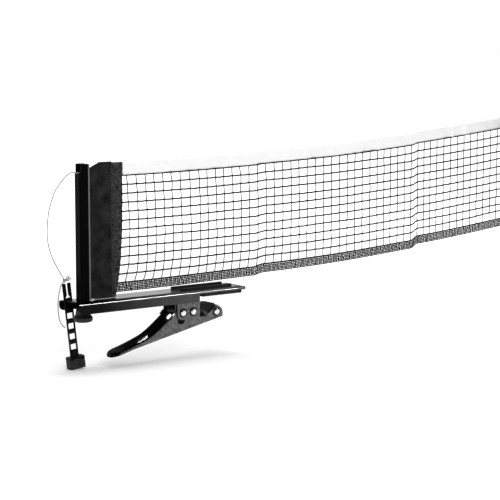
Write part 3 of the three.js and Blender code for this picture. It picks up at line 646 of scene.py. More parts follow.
def thread(name, color):
    """Laid thread: strands that wind round it, lighter on them and darker between them, painted
    light and shade.
    """
    n = Finish(name, color, 0.8, specular=0.06)
    n.set({"Sheen Weight": 0.02})
    strands = wound(n, 40, 0.9, distortion=0.4)
    n.set({"Base Color": n.tint(strands, color, 0.7, 1.5, low=0.2, high=0.8)})
    n.bump(strands, 0.5, 0.12 * MM)
    return n.material


def braid(name, color):
    """Braided cord: two rows of ridges wound against each other, darker between them as
    painted shade.
    """
    n = Finish(name, color, 0.7, specular=0.25)
    n.set({"Sheen Weight": 0.2})
    plait = n.math("MAXIMUM", wound(n, 35, 0.8, across=3.2), wound(n, -35, 0.8, across=3.2))
    n.set({"Base Color": n.tint(plait, color, 0.6, 1.0, low=0.25)})
    n.bump(plait, 0.6, 0.12 * MM)
    return n.material


def studio_floor(name, color):
    """A pale floor that keeps the shadow. What the camera and bright metal see of it is lifted to
    white by a little of its own light, little near the clamp and more further off."""
    near, far = (0.5, 0.12), (1.4, 0.9)  # the distance and the lift there
    material = bpy.data.materials.new(name)
    material.use_nodes = True
    t = Tree(material.node_tree)
    t.tree.nodes.clear()
    place = t.node("TexCoord", {}).outputs["Object"]
    away = t.node("VectorMath", {0: place}, operation="LENGTH").outputs["Value"]
    seen = t.rays("Is Camera Ray", "Is Glossy Ray", "Is Transmission Ray")
    lift = t.math("MULTIPLY", seen, t.span(away, near[0], far[0], near[1], far[1]))
    matt = t.node("BsdfDiffuse", {"Color": color}).outputs[0]
    glow = t.node("Emission", {"Strength": lift}).outputs[0]
    both = t.node("AddShader", {0: matt, 1: glow}).outputs[0]
    t.node("OutputMaterial", {"Surface": both})
    return material


# ---- The studio -------------------------------------------------------------------------

# Lamps that only the named pieces see. Each is the name, the pieces, a point on them, the
# normal at which they mirror the lamp towards the camera there, how far off the lamp stands,
# its width and height, its power, and the direction of its width.
MIRRORED_LAMPS = (
    ("bend_light", ("jaw_rail",), (-0.09, -0.0223, 0.0065), (0, -0.79, 0.61),
     1.1, 1.2, 0.18, 900, (1, 0, 0)),
    ("web_light", ("squeeze_lever",), (-0.1102, -0.0112, -0.0466), (-0.37, 0, 0.93),
     0.03, 0.013, 0.0013, 0.0030, (0.93, 0, 0.37)),
    ("crown_light", ("squeeze_lever",), (-0.0709, -0.0105, -0.0222), (-0.634, 0, 0.773),
     0.022, 0.006, 0.0045, 0.012, (0.77, 0, 0.63)),
    ("head_light", tuple(node + "_domed" for node in RIVETS), (-0.05, -0.018, -0.018),
     (0, -0.8, 0.6), 1.3, 0.6, 0.45, 3.0, None),
)
# The two lower ends of a black card that only bright surfaces see, and its edges' heights over
# the floor.
CARD_ENDS = ((-0.42, -0.36), (-0.12, -0.50))
CARD_EDGES = (0.002, 0.16)


def facing(direction):
    """The turn that points a camera's or a lamp's -Z along the direction, with +Y up."""
    return Vector(direction).to_track_quat("-Z", "Y").to_euler()


def softbox(name, place, target, width, height, power, diffuse=True, only=(), along=None):
    """A rectangular lamp. Where only names the pieces that it lights, it lights no others, and
    where along is given, its width lies that way: x = along, z = the way back less its share
    along x. A lamp that lights diffuse surfaces isn't seen in bright ones."""
    light = bpy.data.lights.new(name, "AREA")
    light.shape, light.size, light.size_y, light.energy = "RECTANGLE", width, height, power
    lamp = bpy.data.objects.new(name, light)
    lamp.location = place
    lamp.rotation_euler = facing(Vector(target) - Vector(place))
    if along:
        x, back = Vector(along).normalized(), Vector(place) - Vector(target)
        z = (back - back.dot(x) * x).normalized()
        lamp.rotation_euler = Matrix((x, z.cross(x), z)).transposed().to_euler()
    lamp.visible_glossy, lamp.visible_diffuse = not diffuse, diffuse
    bpy.context.scene.collection.objects.link(lamp)
    if only:
        lit = bpy.data.collections.new(name + "_lights")
        for node in only:
            lit.objects.link(bpy.data.objects[node])
        lamp.light_linking.receiver_collection = lit


def mirrored(eye, point, normal, distance):
    """Where a lamp stands so that the camera sees it in a surface at the point: the line of sight
    turned back by the normal, r = d - 2 (d.n) n, followed for the distance."""
    point, normal = np.asarray(point, float), unit(np.asarray(normal, float))
    sight = unit(point - np.asarray(eye, float))
    away = sight - 2 * np.dot(sight, normal) * normal
    return tuple(point + away * distance)


def sky_light(strength):
    """Plain light all round. The camera sees white, and glossy surfaces see white near the
    horizon and a dimmer sky above it."""
    horizon, above, dim = 0.625, 0.71, (0.02, 0.02, 0.02)  # (1 + the sight's rise) / 2
    world = bpy.data.worlds.new("studio_sky")
    bpy.context.scene.world = world
    world.use_nodes = True
    t = Tree(world.node_tree)
    t.tree.nodes.clear()
    place = t.node("TexCoord", {}).outputs["Generated"]
    rise = t.node("SeparateXYZ", {0: place}).outputs["Z"]
    height = t.node("Math", {0: rise, 1: 0.5, 2: 0.5}, operation="MULTIPLY_ADD").outputs[0]
    sky = t.shade(height, horizon, above, WHITE, dim)
    plain = t.node("Background", {"Color": WHITE, "Strength": strength}).outputs[0]
    glossy = t.node("Background", {"Color": sky, "Strength": 1.15}).outputs[0]
    white = t.node("Background", {"Color": WHITE, "Strength": 1}).outputs[0]
    light = t.node("MixShader", {0: t.rays("Is Glossy Ray"), 1: plain, 2: glossy}).outputs[0]
    seen = t.rays("Is Camera Ray", "Is Transmission Ray")
    both = t.node("MixShader", {0: seen, 1: light, 2: white}).outputs[0]
    t.node("OutputWorld", {"Surface": both})


def one_face(name, material, low_left, low_right, high_left, high_right):
    """A single flat face between four corners."""
    corners = np.array([[low_left, low_right], [high_left, high_right]], float)
    return skin(name, material, corners, smooth=False)


class CLAMP_OT_studio(bpy.types.Operator):
    """Camera at the photograph's angle, a pale floor, a plain sky and soft lamps"""

    bl_idname = "net_clamp.studio"
    bl_label = "Studio"

    def execute(self, context):
        s = context.scene.clamp_studio
        level = math.cos(s.dip)
        sight = Vector((math.sin(s.turn) * level, math.cos(s.turn) * level, -math.sin(s.dip)))
        lens = bpy.data.cameras.new("camera")
        lens.lens, lens.sensor_width, lens.clip_start, lens.clip_end = s.lens, 36, 0.05, 60
        camera = bpy.data.objects.new("camera", lens)
        camera.location, camera.rotation_euler = s.eye, facing(sight)
        context.scene.collection.objects.link(camera)
        context.scene.camera = camera

        z = CAD_BOX[0].z - s.floor_gap
        half = s.floor_size / 2
        paper = studio_floor("floor_paper", context.scene.clamp_colours.floor)
        floor = one_face("floor", paper, (-half, -half, z), (half, -half, z),
                         (-half, half, z), (half, half, z))

        black = Finish("card_black", (0.002, 0.002, 0.002), 0.9, specular=0).material
        corners = [(*end, z + edge) for edge in CARD_EDGES for end in CARD_ENDS]
        card = one_face("black_card", black, *corners)
        card.visible_camera = card.visible_diffuse = card.visible_shadow = False

        sky_light(s.sky)
        width, height = 1.6, 1.0
        softbox("key_softbox", (-0.5, -2.2, 1.3), (0.15, 0, 0.05), width, height,
                s.key_power * 1.05)
        softbox("top_softbox", (0.35, 0.1, 1.9), (0.05, 0, 0.05), width, height,
                s.key_power * 0.8)
        eye = tuple(s.eye)
        for name, only, point, normal, away, width, height, power, along in MIRRORED_LAMPS:
            softbox(name, mirrored(eye, point, normal, away), point, width, height, power,
                    diffuse=False, only=only, along=along)
        context.scene.view_settings.view_transform = "Standard"
        return {"FINISHED"}


# ---- The tension cord -----------------------------------------------------------------------

# From the notch in the post to the knot on the strap's fork and on to the tail's end, in
# millimetres from the post's axis at the rail's top.
CORD_ROUTE = [
    (-2.25, 0, 149.6), (-5.15, 0, 149.3), (-7.95, 0.2, 149.9), (-11.35, 0.5, 150.7),
    (-14.95, 0.9, 149.7), (-18.35, 1.7, 147.2), (-22.45, 2.5, 143.4), (-25.85, 3.4, 138.9),
    (-29.55, 4.2, 134), (-32.65, 5.1, 128.8), (-35.05, 5.9, 122.5), (-36.85, 6.7, 116.2),
    (-38.25, 7.6, 110.5), (-39.35, 8.4, 104.1), (-40.15, 9.3, 94.3), (-40.45, 10.1, 82.7),
    (-39.55, 10.9, 73.3), (-37.55, 11.8, 64.5), (-33.65, 12.6, 54.1), (-28.05, 13.5, 43.5),
    (-22.55, 14.3, 34.8), (-17.95, 15.2, 28), (-15.45, 15.7, 24.7), (-14.95, 15.9, 22.9),
    (-16.15, 16, 21.6), (-19.25, 15.7, 19.1), (-21.15, 15.6, 14.7), (-23.45, 15.2, 6.1),
    (-24.65, 14.9, -2), (-24.85, 14.5, -10.2), (-24.15, 14.1, -19), (-22.25, 13.6, -25.4),
    (-19.85, 12.9, -29.2), (-17.05, 12.2, -31.3),
]
# The knot's middle, in the same way, and its size.
KNOT_PLACE = (-15.2, 16.0, 23.4)
KNOT_SIZE = 0.62
# The bow's two loops: how far each reaches, how high it stands and how it leans.
BOW_LOOPS = ((8.3, 1.3, 0.55), (6.0, 2.0, -0.20))


def from_post(points):
    """Millimetres from the post's axis at the rail's top, as metres in the clamp's frame."""
    return np.asarray(points, float) * MM + np.array([POST_X, 0, PLATE_TOP])


def trefoil(t):
    """A closed knot: sin t + 2 sin 2t, 1.1 sin 3t, cos t - 2 cos 2t."""
    return np.stack([np.sin(t) + 2 * np.sin(2 * t), np.sin(3 * t) * 1.1,
                     np.cos(t) - 2 * np.cos(2 * t)], axis=1)


def bow_loop(t, reach, lift, lean):
    """A drop-shaped loop: reach sin(t/2)^1.2 cos(0.22 sin t + 0.2 lean) along X, 0.5 sin t
    across, and lift sin t sin(t/2) + 3.2 sin(t/2)^2 - 2 lean sin(t/2) up."""
    half = np.sin(t / 2)
    along = reach * half**1.2 * np.cos(0.22 * np.sin(t) + lean * 0.2)
    up = lift * np.sin(t) * half + 3.2 * half**2 - lean * 2.0 * half
    return np.stack([along, 0.5 * np.sin(t), up], axis=1)


class CLAMP_OT_cord(bpy.types.Operator):
    """The white cord from the post's notch, its knot and bow on the strap's fork, and its tail"""

    bl_idname = "net_clamp.cord"
    bl_label = "Tension cord"

    def execute(self, context):
        s = context.scene.clamp_cord
        finish = braid("white_braid", context.scene.clamp_colours.white_cord)
        radius = s.diameter / 2
        path = smooth_path(from_post(CORD_ROUTE), 700)
        cord = tube("tie_cord", finish, path, radius, (0, 1, 0), sides=12)
        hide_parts("tension_cord")
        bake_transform(cord)

        t = full_turn(120)
        centre = from_post(KNOT_PLACE)
        knot = tube("tie_knot", finish, centre + trefoil(t) * KNOT_SIZE * MM, radius, (0, 1, 0),
                    sides=10, closed=True)
        bow_mesh = Mesh()
        for reach, lift, lean in BOW_LOOPS:
            bow_mesh.tubes((centre + bow_loop(t, reach, lift, lean) * MM)[None], radius * 0.9,
                           (0, 1, 0), sides=10, closed=True)
        bow = bow_mesh.build("tie_bow", finish)
        for piece in (knot, bow):
            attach(piece, "strap")
        return {"FINISHED"}


# ---- The net ------------------------------------------------------------------------------

# Where the net's foot steps up a little, and by how much, in metres.
FOOT_STEPS = ((0.2565, 0.0013), (0.5165, 0.0026))
STEP_RUN, STEP_REACH = 0.004, 0.05
# How sharply the sleeve's edge runs back towards its foot.
EDGE_POWER = 3.8
# The share of the height over which the threads by the sleeve hook back.
HOOK = 0.13


def net_line(s, x):
    """The spread net's foot, x from the post: y = -bow exp(-((x - at) / spread)^2), and
    z = base + rise (x - from over span)^power."""
    share = np.clip((x - s.rise_from) / s.rise_span, 0, None)
    y = -s.bow * np.exp(-(((x - s.bow_at) / s.bow_spread) ** 2))
    return y, PLATE_TOP + s.base + s.rise * share**s.rise_power


def roll_radius(s):
    """The roll's outer radius: its core and its turns."""
    return s.roll_core + s.roll_turns * s.roll_pitch


def roll_length(s):
    """The net on the roll: its turns times 2 pi the middle radius."""
    return 2 * np.pi * s.roll_turns * (roll_radius(s) - s.roll_pitch * s.roll_turns / 2)


def full_length(s):
    """The net's length from its sleeve to its end in the roll."""
    return s.end - s.start + roll_length(s)


def net_lean(s, v):
    """How far a thread by the sleeve leans: belly (1 - t^3) - slant exp(-t / hook), where
    t = v / height."""
    t = np.clip(v / s.height, 0, 1)
    return s.belly * (1 - t**3) - s.slant * np.exp(-t / HOOK)


def on_net(s, x, v, off):
    """A point of the net x along it, v over the mesh's foot and off behind it. Past its flat end
    the net winds in a spiral, radius = outer - pitch turns, at the angle whose arc is the length
    wound. Each small step of the foot is step tanh(gone) exp(-distance / reach), less of it
    higher up. Next to the sleeve the net leans back with the sleeve's edge and bows a little."""
    x, v, off = np.broadcast_arrays(np.asarray(x, float), v, off)
    flat = np.minimum(x, s.end)
    y, z = net_line(s, flat)
    lower = 1 - 0.6 * np.clip(v / s.height, 0, 1)
    for place, step in FOOT_STEPS:
        gone = (flat - place) / STEP_RUN
        z = z + step * np.tanh(gone) * np.exp(-np.abs(flat - place) / STEP_REACH) * lower
    lean = net_lean(s, v) * np.clip(1 - (x - s.start) / s.fade, 0, 1)
    outer = roll_radius(s)
    on_roll = np.maximum(x - s.end, 0)
    left = np.sqrt(np.maximum(outer**2 - s.roll_pitch * on_roll / np.pi, 1e-9))
    angle = (outer - left) * 2 * np.pi / s.roll_pitch
    radius = outer - s.roll_pitch * angle / (2 * np.pi) + off
    end_y = net_line(s, s.end)[0]
    rolled = x > s.end
    px = np.where(rolled, s.end + radius * np.sin(angle), flat + lean)
    py = np.where(rolled, end_y - outer + radius * np.cos(angle), y + off)
    return np.stack([POST_X + px, py, z + v], axis=-1)


def soft_waves(x, seed, count, depth, low, high, width):
    """Soft folds: a sum of bells at set places, each depth exp(-((x - place) / width)^2)."""
    rng = np.random.default_rng(seed)
    places = rng.uniform(low, high, count)
    depths = rng.uniform(-1, 1, count) * depth
    widths = width * rng.uniform(0.6, 1.6, count)
    return (depths * np.exp(-(((x[..., None] - places) / widths) ** 2))).sum(-1)


def net_knots(mesh, places, half):
    """A small octahedron at each place: its six corners stand half its width off the middle."""
    corners = np.array([(1, 0, 0), (0, 1, 0), (-1, 0, 0), (0, -1, 0), (0, 0, 1), (0, 0, -1)],
                       float)
    faces = np.array([(0, 1, 4), (1, 2, 4), (2, 3, 4), (3, 0, 4),
                      (1, 0, 5), (2, 1, 5), (3, 2, 5), (0, 3, 5)])
    base = mesh.add_points(places[:, None] + corners * half)
    first = base + np.arange(len(places))[:, None, None] * len(corners)
    mesh.add_faces((first + faces).reshape(-1, 3))


def net_threads(s):
    """Upright and level threads with a small knot at each crossing. The upright ones sit a hair
    off their even places, and a level one sags between knots by sag |sin(pi x / pitch)|. In the
    first 6 mm the level ones reach back under the sleeve's edge, edge (1 - height)^3.8."""
    mesh = Mesh()
    last, reach_run = s.start + full_length(s), 0.006
    columns = np.arange(s.first, last - 0.002, s.pitch)
    rng = np.random.default_rng(11)
    shift = rng.normal(0, s.shift, len(columns))
    crease = soft_waves(columns, seed=5, count=26, depth=s.crease, low=s.start, high=last,
                        width=0.012)
    heights = np.linspace(0, s.height, s.rows * 3 + 1)
    wobble = rng.normal(0, s.wobble, (len(columns), len(heights)))
    wobble = (wobble + np.roll(wobble, 1, axis=1) + np.roll(wobble, -1, axis=1)) / 2
    x = columns[:, None] + shift[:, None] + crease[:, None] + wobble
    upright = on_net(s, x, np.broadcast_to(heights, x.shape), 0.0)
    mesh.tubes(upright, s.thread * s.upright, (0, 1, 0.01), sides=5)

    rows = np.linspace(0, s.height, s.rows + 1)
    along = np.concatenate([np.arange(s.start - 0.0006, last, s.pitch / 4), [last]])
    sag = s.sag * np.abs(np.sin(np.pi * (along - s.first) / s.pitch))
    drift = np.stack([soft_waves(along, seed=40 + k, count=30, depth=s.drift, low=s.start,
                                 high=last, width=0.02) for k in range(len(rows))])
    inner = ((rows > 0) & (rows < s.height))[:, None]
    v = rows[:, None] + np.where(inner, drift - sag, 0)
    height = (s.base + rows) / (s.base + s.height + s.tape)
    back = (s.edge * (1 - height) ** EDGE_POWER + net_lean(s, rows) + s.tuck)[:, None]
    near = np.clip(1 - (along - s.start) / reach_run, 0, 1)[None]
    mesh.tubes(on_net(s, along[None] - back * near, v, 0.0), s.thread * 0.5, (0, 0, 1), sides=5)
    net_knots(mesh, upright[:, ::3].reshape(-1, 3), s.knot)
    return mesh


def net_band(s):
    """A close square mesh of flat threads over a round hem. It starts under the sleeve."""
    mesh = Mesh()
    last, first = s.start + full_length(s), s.start - 0.010
    flat, top, step = 0.22, -0.0004, 0.0032
    columns = np.arange(s.start - 0.009, last - 0.001, s.band_pitch)
    heights = np.linspace(-s.band, top, 4)
    rng = np.random.default_rng(23)
    jitter = rng.normal(0, s.band_jitter, (len(columns), len(heights)))
    mesh.tubes(on_net(s, columns[:, None] + jitter, heights[None], 0.0), s.band_thread,
               (1, 0, 0.01), sides=4, flat=flat)
    rows = np.linspace(-s.band, top, 6)
    along = np.concatenate([np.arange(first, last, step), [last]])
    v = rows[:, None] + rng.normal(0, s.band_ripple, (len(rows), len(along)))
    mesh.tubes(on_net(s, np.broadcast_to(along, v.shape), v, 0.0), s.band_line, (0, 0, 1),
               sides=4, flat=flat)
    hem = on_net(s, along, -s.band - 0.0001 + 0.0001 * np.sin(along * 900), 0.0)
    mesh.tubes(hem[None], s.hem, (0, 0, 1), sides=5)
    return mesh


def net_tape(s):
    """A white tape folded over the top edge: a closed section of two layers and a round fold,
    carried along the net. It puckers with its folds, more at its lower edge, and less towards
    the roll."""
    mesh = Mesh()
    last, first, step, rows = s.start + full_length(s), s.start + 0.0008, 0.0016, 9
    along = np.concatenate([np.arange(first, last, step), [last]])
    half = s.tape_thickness / 2
    low, high = s.height + 0.0009, s.height + s.tape
    layer = low + (high - half - low) * np.linspace(0, 1, rows)
    fold = np.linspace(-np.pi / 2, np.pi / 2, 7)[1:-1]
    v_section = np.concatenate([layer, high - half + half * np.cos(fold), layer[::-1]])
    off_section = np.concatenate([np.full(rows, -half), half * np.sin(fold),
                                  np.full(rows, half)])
    share = (v_section - low) / (high - low)
    reach = {"low": s.start, "high": last}
    puckers = soft_waves(along, seed=3, count=110, depth=s.pucker, width=0.0045, **reach)[:, None]
    ripples = soft_waves(along, seed=9, count=120, depth=s.ripple, width=0.0032, **reach)[:, None]
    folds = puckers * (0.9 - 0.5 * share)[None] + ripples * (1 - share)[None] ** 2
    dip = soft_waves(along, seed=17, count=60, depth=s.dip, width=0.012, **reach)[:, None]
    v = v_section[None] + dip * share[None]
    quiet = np.clip((s.end - along) / 0.02, 0.25, 1)[:, None]
    surface = on_net(s, along[:, None], v, off_section[None] + folds * quiet)
    mesh.grids(surface[None], around=True, caps=True, scale=(1.3, 1.6))
    return mesh


class CLAMP_OT_net(bpy.types.Operator):
    """The net: knotted threads, the close band under them and the folded tape over them"""

    bl_idname = "net_clamp.net"
    bl_label = "Net"

    def execute(self, context):
        s, c = context.scene.clamp_net, context.scene.clamp_colours
        long = full_length(s)
        black = thread("net_thread", c.black_thread)
        close = thread("band_thread", c.black_thread)
        white = cloth("tape_weave", c.white_tape, 1.6, 0.1, 0.10 * MM, (0.98, 1.02))
        # The threads cover 0.3 of the sheet that they span.
        for name, made, finish, slot, nodes, height, area in (
            ("net_threads", net_threads(s), black, "black_thread", ("net_mesh",),
             s.height, 0.3 * long * s.height),
            ("net_foot_band", net_band(s), close, "black_thread", ("net_band",), s.band, None),
            ("net_top_tape", net_tape(s), white, "white_tape", ("net_tape", "net_roll"),
             s.tape, None),
        ):
            piece = made.build(name, finish)
            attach(piece, "post")
            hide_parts(*nodes)
        return {"FINISHED"}


# ---- The sleeves ----------------------------------------------------------------------------


def pillow(u, power):
    """sin(pi u) to the power, on a grid that stops just short of both edges."""
    return np.sin(np.pi * np.clip(u * 0.98 + 0.01, 0, 1)) ** power


def sleeve_panel(s, x0, x1, columns, rows, layer):
    """A doubled cloth from x0 to x1(v), up to layer under the top: a closed section of a front
    and a back layer, thickness (edge + (1 - edge) sin(pi u)^0.35 sin(pi v)^0.25) apart, with
    upright drapes clear of the post and a lifted corner at its foot."""
    edge = 0.45  # the edges' thickness over the middle's
    u = np.linspace(0, 1, columns)[None]
    v = np.linspace(0, 1, rows)[:, None]
    x = x0 + (x1(v) - x0) * u
    ramp = np.clip((x - s.outside) / s.shoulder_run, 0, 1)
    tongue = np.clip((x - s.inner) / (s.outside - s.inner), 0, 1)
    top = s.top - s.shoulder * (1 - ramp) - s.tongue_drop * (1 - tongue)
    lift = s.corner_lift * np.exp(-(((x - s.corner_at) / s.corner_width) ** 2))
    foot = np.where(x > s.outside - 0.5 * MM, s.foot + lift, s.tongue_foot)
    z = foot + (top - layer - foot) * v
    folds = (soft_waves(x + 0.004 * v, seed=61, count=8, depth=s.fold, low=0.010, high=0.056,
                        width=0.008)
             + soft_waves(z * 0.35 + x * 0.6, seed=67, count=8, depth=s.fold, low=0.0, high=0.08,
                          width=0.009))
    drape = folds * np.clip((x - s.outside) / 0.008, 0, 1)
    half = s.thickness / 2 * (edge + (1 - edge) * (pillow(u, 0.35) * pillow(v, 0.25)))
    front = np.stack([POST_X + x, drape - half, PLATE_TOP + z], axis=-1)
    back = np.stack([POST_X + x, drape + half, PLATE_TOP + z], axis=-1)
    return np.concatenate([front, back[:, ::-1]], axis=1)


def stitches(line, gap, length, thick):
    """Short stitches along a line: each a little arch towards -Y, thick cos(pi t), where t runs
    from -1/2 to 1/2 over its length."""
    count = int(length_of(line) / gap)
    middles = np.linspace(0.5, count - 0.5, count) / count * steps_along(line)[-1]
    t = np.linspace(-0.5, 0.5, 5)
    points = points_at(line, middles[:, None] + t[None] * length)
    points[..., 1] -= thick * np.cos(np.pi * t)
    return points


def straight(x, y, z, count):
    """A line of count points; each of x, y and z is a number or an array of that length."""
    return np.stack([np.broadcast_to(np.asarray(a, float), (count,)) for a in (x, y, z)], axis=1)


class CLAMP_OT_bead(bpy.types.Operator):
    """The rounded lip down the post beside its slot, with a painted highlight in its paint"""

    bl_idname = "net_clamp.bead"
    bl_label = "Post's lip"

    def execute(self, context):
        # It starts clear of the rail and ends under the post's top, a little narrower there.
        r = context.scene.clamp_metal.lip
        z = np.concatenate([[PLATE_TOP + 0.0022],
                            np.linspace(PLATE_TOP + 0.0028, POST_HIGH.z - 0.001, 40),
                            [POST_HIGH.z - 0.0004]])
        line = straight(POST_HIGH.x + 0.7 * r, POST_LOW.y + r, z, len(z))
        radius = np.full(len(z), r)
        radius[[0, -1]] *= 0.6
        # Painted highlight: the lip's paint is 28 times the post's black, standing in for the light
        # down the slot's edge.
        pale = paint("lip_painted_highlight", times(context.scene.clamp_colours.black_paint, 28), 0.3,
                     specular=0.6)
        piece = tube("post_lip", pale, line, radius[None], (0, 1, 0), sides=24)
        sharp_over(piece, 50)
        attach(piece, "post")
        return {"FINISHED"}


class CLAMP_OT_sleeve(bpy.types.Operator):
    """The black cloth sleeve on the post, its laced edging with stitches, and the far sleeve"""

    bl_idname = "net_clamp.sleeve"
    bl_label = "Sleeves"

    def execute(self, context):
        weave = self.near_sleeve(context.scene.clamp_sleeve, context.scene.clamp_colours)
        self.far_sleeve(context.scene.clamp_sleeve, context.scene.clamp_colours, weave)
        return {"FINISHED"}

    def near_sleeve(self, s, c):
        """The panel, its edging and their stitches. The edging's free edge runs back towards its
        foot, reach_top - (reach_top - reach_foot) (1 - v)^3.8, and frays a little."""
        weave = cloth("sleeve_weave", c.black_fabric, 1.9, 0.06, 0.12 * MM, (0.1, 3.6), 70)
        rough = cloth("edging_weave", times(c.black_fabric, 0.8), 1.1, 0.04, 0.3 * MM,
                      (0.0, 15.0), 330)
        rows = 130

        def edge(v):
            fray = np.sin(v * 37) * np.sin(v * 11 + 1) + np.sin(v * 160)
            return (s.reach_top - (s.reach_top - s.reach_foot) * (1 - v) ** EDGE_POWER
                    + s.fray * fray)

        cut = sleeve_panel(s, s.inner, lambda v: s.seam + 0.0008 + 0 * v, 70, rows, 0.0)
        panel = skin("sleeve_cloth", weave, cut, around=True, caps=True, scale=(0.53, 1.2))
        strip = sleeve_panel(s, s.seam - 0.0002, edge, 26, rows, 0.0011)
        edging = skin("sleeve_edging", rough, strip, around=True, caps=True, scale=(0.6, 1.2))

        front = -s.thickness / 2 - 0.0005
        height = np.linspace(0.012, s.top - 0.004, 60)
        hem = np.linspace(s.outside + 0.016, s.seam - 0.003, 40)
        mesh = Mesh()
        for x, up, side in ((s.seam - 0.0012, height, (1, 0, 0)),
                            (s.seam + 0.0028, height, (1, 0, 0)),
                            (hem, s.top - 0.0050, (0, 0, 1))):
            line = straight(POST_X + x, front, PLATE_TOP + up, max(np.size(x), np.size(up)))
            mesh.tubes(stitches(line, s.stitch_gap, s.stitch, 0.0004), s.stitch_thread, side,
                       sides=5)
        lace = mesh.build("sleeve_stitches", thread("stitch_thread", times(c.black_fabric, 9)))
        for piece in (panel, edging, lace):
            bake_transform(piece)
        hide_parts("net_sleeve")
        return weave

    def far_sleeve(self, s, c, weave):
        """A tube of cloth round the far rod, rippled by two waves round it that drift along it:
        ripple (sin(3 a + 90 z) + 6/7 sin(5 a - 160 z))."""
        low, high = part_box("far_sleeve")
        middle = np.array([(low.x + high.x) / 2, (low.y + high.y) / 2, 0])
        r = (high.x - low.x) / 2
        z = np.linspace(low.z, high.z, 90)[:, None]
        a = full_turn(64)[None]
        waves = np.sin(3 * a + z * 90) + np.sin(5 * a - z * 160) * 6 / 7
        radius = r - s.thickness / 2 + s.ripple * waves
        ring = np.stack([radius * np.cos(a), radius * np.sin(a), z + 0 * a], axis=-1)
        share = 1 - 1.2 * MM / r  # of the inner face to the outer one
        inner = ring[::-1] * (share, share, 1)
        far = skin("far_sleeve_cloth", weave, np.concatenate([ring, inner]) + middle,
                   around=True, closed=True, scale=(0.85, 1.8))
        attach(far, "post")
        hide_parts("far_sleeve")

        axis, rr, corner = 0.0005, s.rod, 0.0006
        bottom, top = low.z + 0.001, high.z - 0.001
        profile = [(axis, bottom), (rr - corner, bottom), (rr, bottom + corner),
                   (rr, top - corner), (rr - corner, top), (axis, top)]
        dark = plastic("rod_plastic", times(c.black_plastic, 1.6), 0.4)
        rod = skin("far_sleeve_rod", dark, turned_about_z(profile, 0, 32) + middle,
                   around=True, caps=True)
        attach(rod, "post")


# ---- Rivets, spring and knob ------------------------------------------------------------------

# The spring's first leg, as shares of its height from the top down to the coil, and its foot's
# X and Z beyond the coil, in millimetres from the coil's middle.
SPRING_LEG = (1, 0.66, 0.33, 0.12)
SPRING_FOOT = ((-12, 1.8), (-15.5, -1.2), (-17, -2.6))
# How far short of whole the last turn stops, where the foot leaves it.
SPRING_SHORT = math.radians(68)
# From the top of the CAD rivet down to the underside of its head.
HEAD_DEPTH = 0.0023
# A washer's section: radius, and depth under the head.
WASHER = ((0.0031, 0.00028), (0.0053, 0.00028), (0.0056, 0.00015), (0.0054, 0.00002),
          (0.0048, 0.00012), (0.0031, 0.00014))
# The knob's section as radius and height: from the middle of its foot out and up to its neck,
# and the floor of its bore.
KNOB_OUTSIDE = ((0.0002, 0.0), (0.0075, 0.0), (0.0095, 0.0004), (0.0108, 0.0014),
                (0.0115, 0.0028), (0.0116, 0.0042), (0.0114, 0.0056), (0.0106, 0.0068),
                (0.0096, 0.0078), (0.0088, 0.0100), (0.0083, 0.0135))
KNOB_BORE = ((0.0029, 0.0026), (0.0028, 0.0025), (0.0002, 0.0025))
# The flutes run out under this height and outside this radius, each over its length.
FLUTE_TOP, FLUTE_TOP_RUN = 0.0078, 0.0012
FLUTE_INSIDE, FLUTE_INSIDE_RUN = 0.0085, 0.0010


class CLAMP_OT_rivets(bpy.types.Operator):
    """Three domed rivets, each with a thin dished washer under both heads, darkened as a painted
    shadow round the head
    """

    bl_idname = "net_clamp.rivets"
    bl_label = "Rivets"

    def execute(self, context):
        s, c = context.scene.clamp_metal, context.scene.clamp_colours
        bright = bright_metal("bright_nickel", c.nickel, 0.08)
        # Painted shadow: the washers are painted darker than the paint round them, as the dark ring
        # round each head.
        dark = paint("washer_painted_shade", times(c.black_paint, 0.5), 0.35, specular=0.08)
        a = np.linspace(0, np.pi / 2, 14)
        steps = 56
        for node, body in RIVETS.items():
            low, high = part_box(node)
            x, z = (low.x + high.x) / 2, (low.z + high.z) / 2
            face = high.y - HEAD_DEPTH
            dome = np.stack([s.head * np.cos(a), face + 0.0004 + s.dome * np.sin(a)], axis=1)
            dome[-1, 0] = 0.00002
            half = np.vstack([[(s.shank, 0.0), (s.shank, face - 0.0002),
                               (s.head - 0.0003, face - 0.00005), (s.head, face + 0.0001)], dome])
            profile = np.vstack([half[::-1] * (1, -1), half[1:]])
            piece = skin(node + "_domed", bright, turned_about_y(profile, x, z, steps)[::-1],
                         around=True, caps=True)
            sharp_over(piece, 40)
            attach(piece, body)
            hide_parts(node)
            rings = Mesh()
            ring = np.array(WASHER) * (1, -1) + (0, face)
            for side in (-1, 1):
                points = turned_about_y(ring * (1, side), x, z, steps)
                rings.grids(points[None, ::side], around=True, closed=True)
            washer = rings.build(node + "_washers", dark)
            sharp_over(washer, 35)
            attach(washer, body)
        return {"FINISHED"}


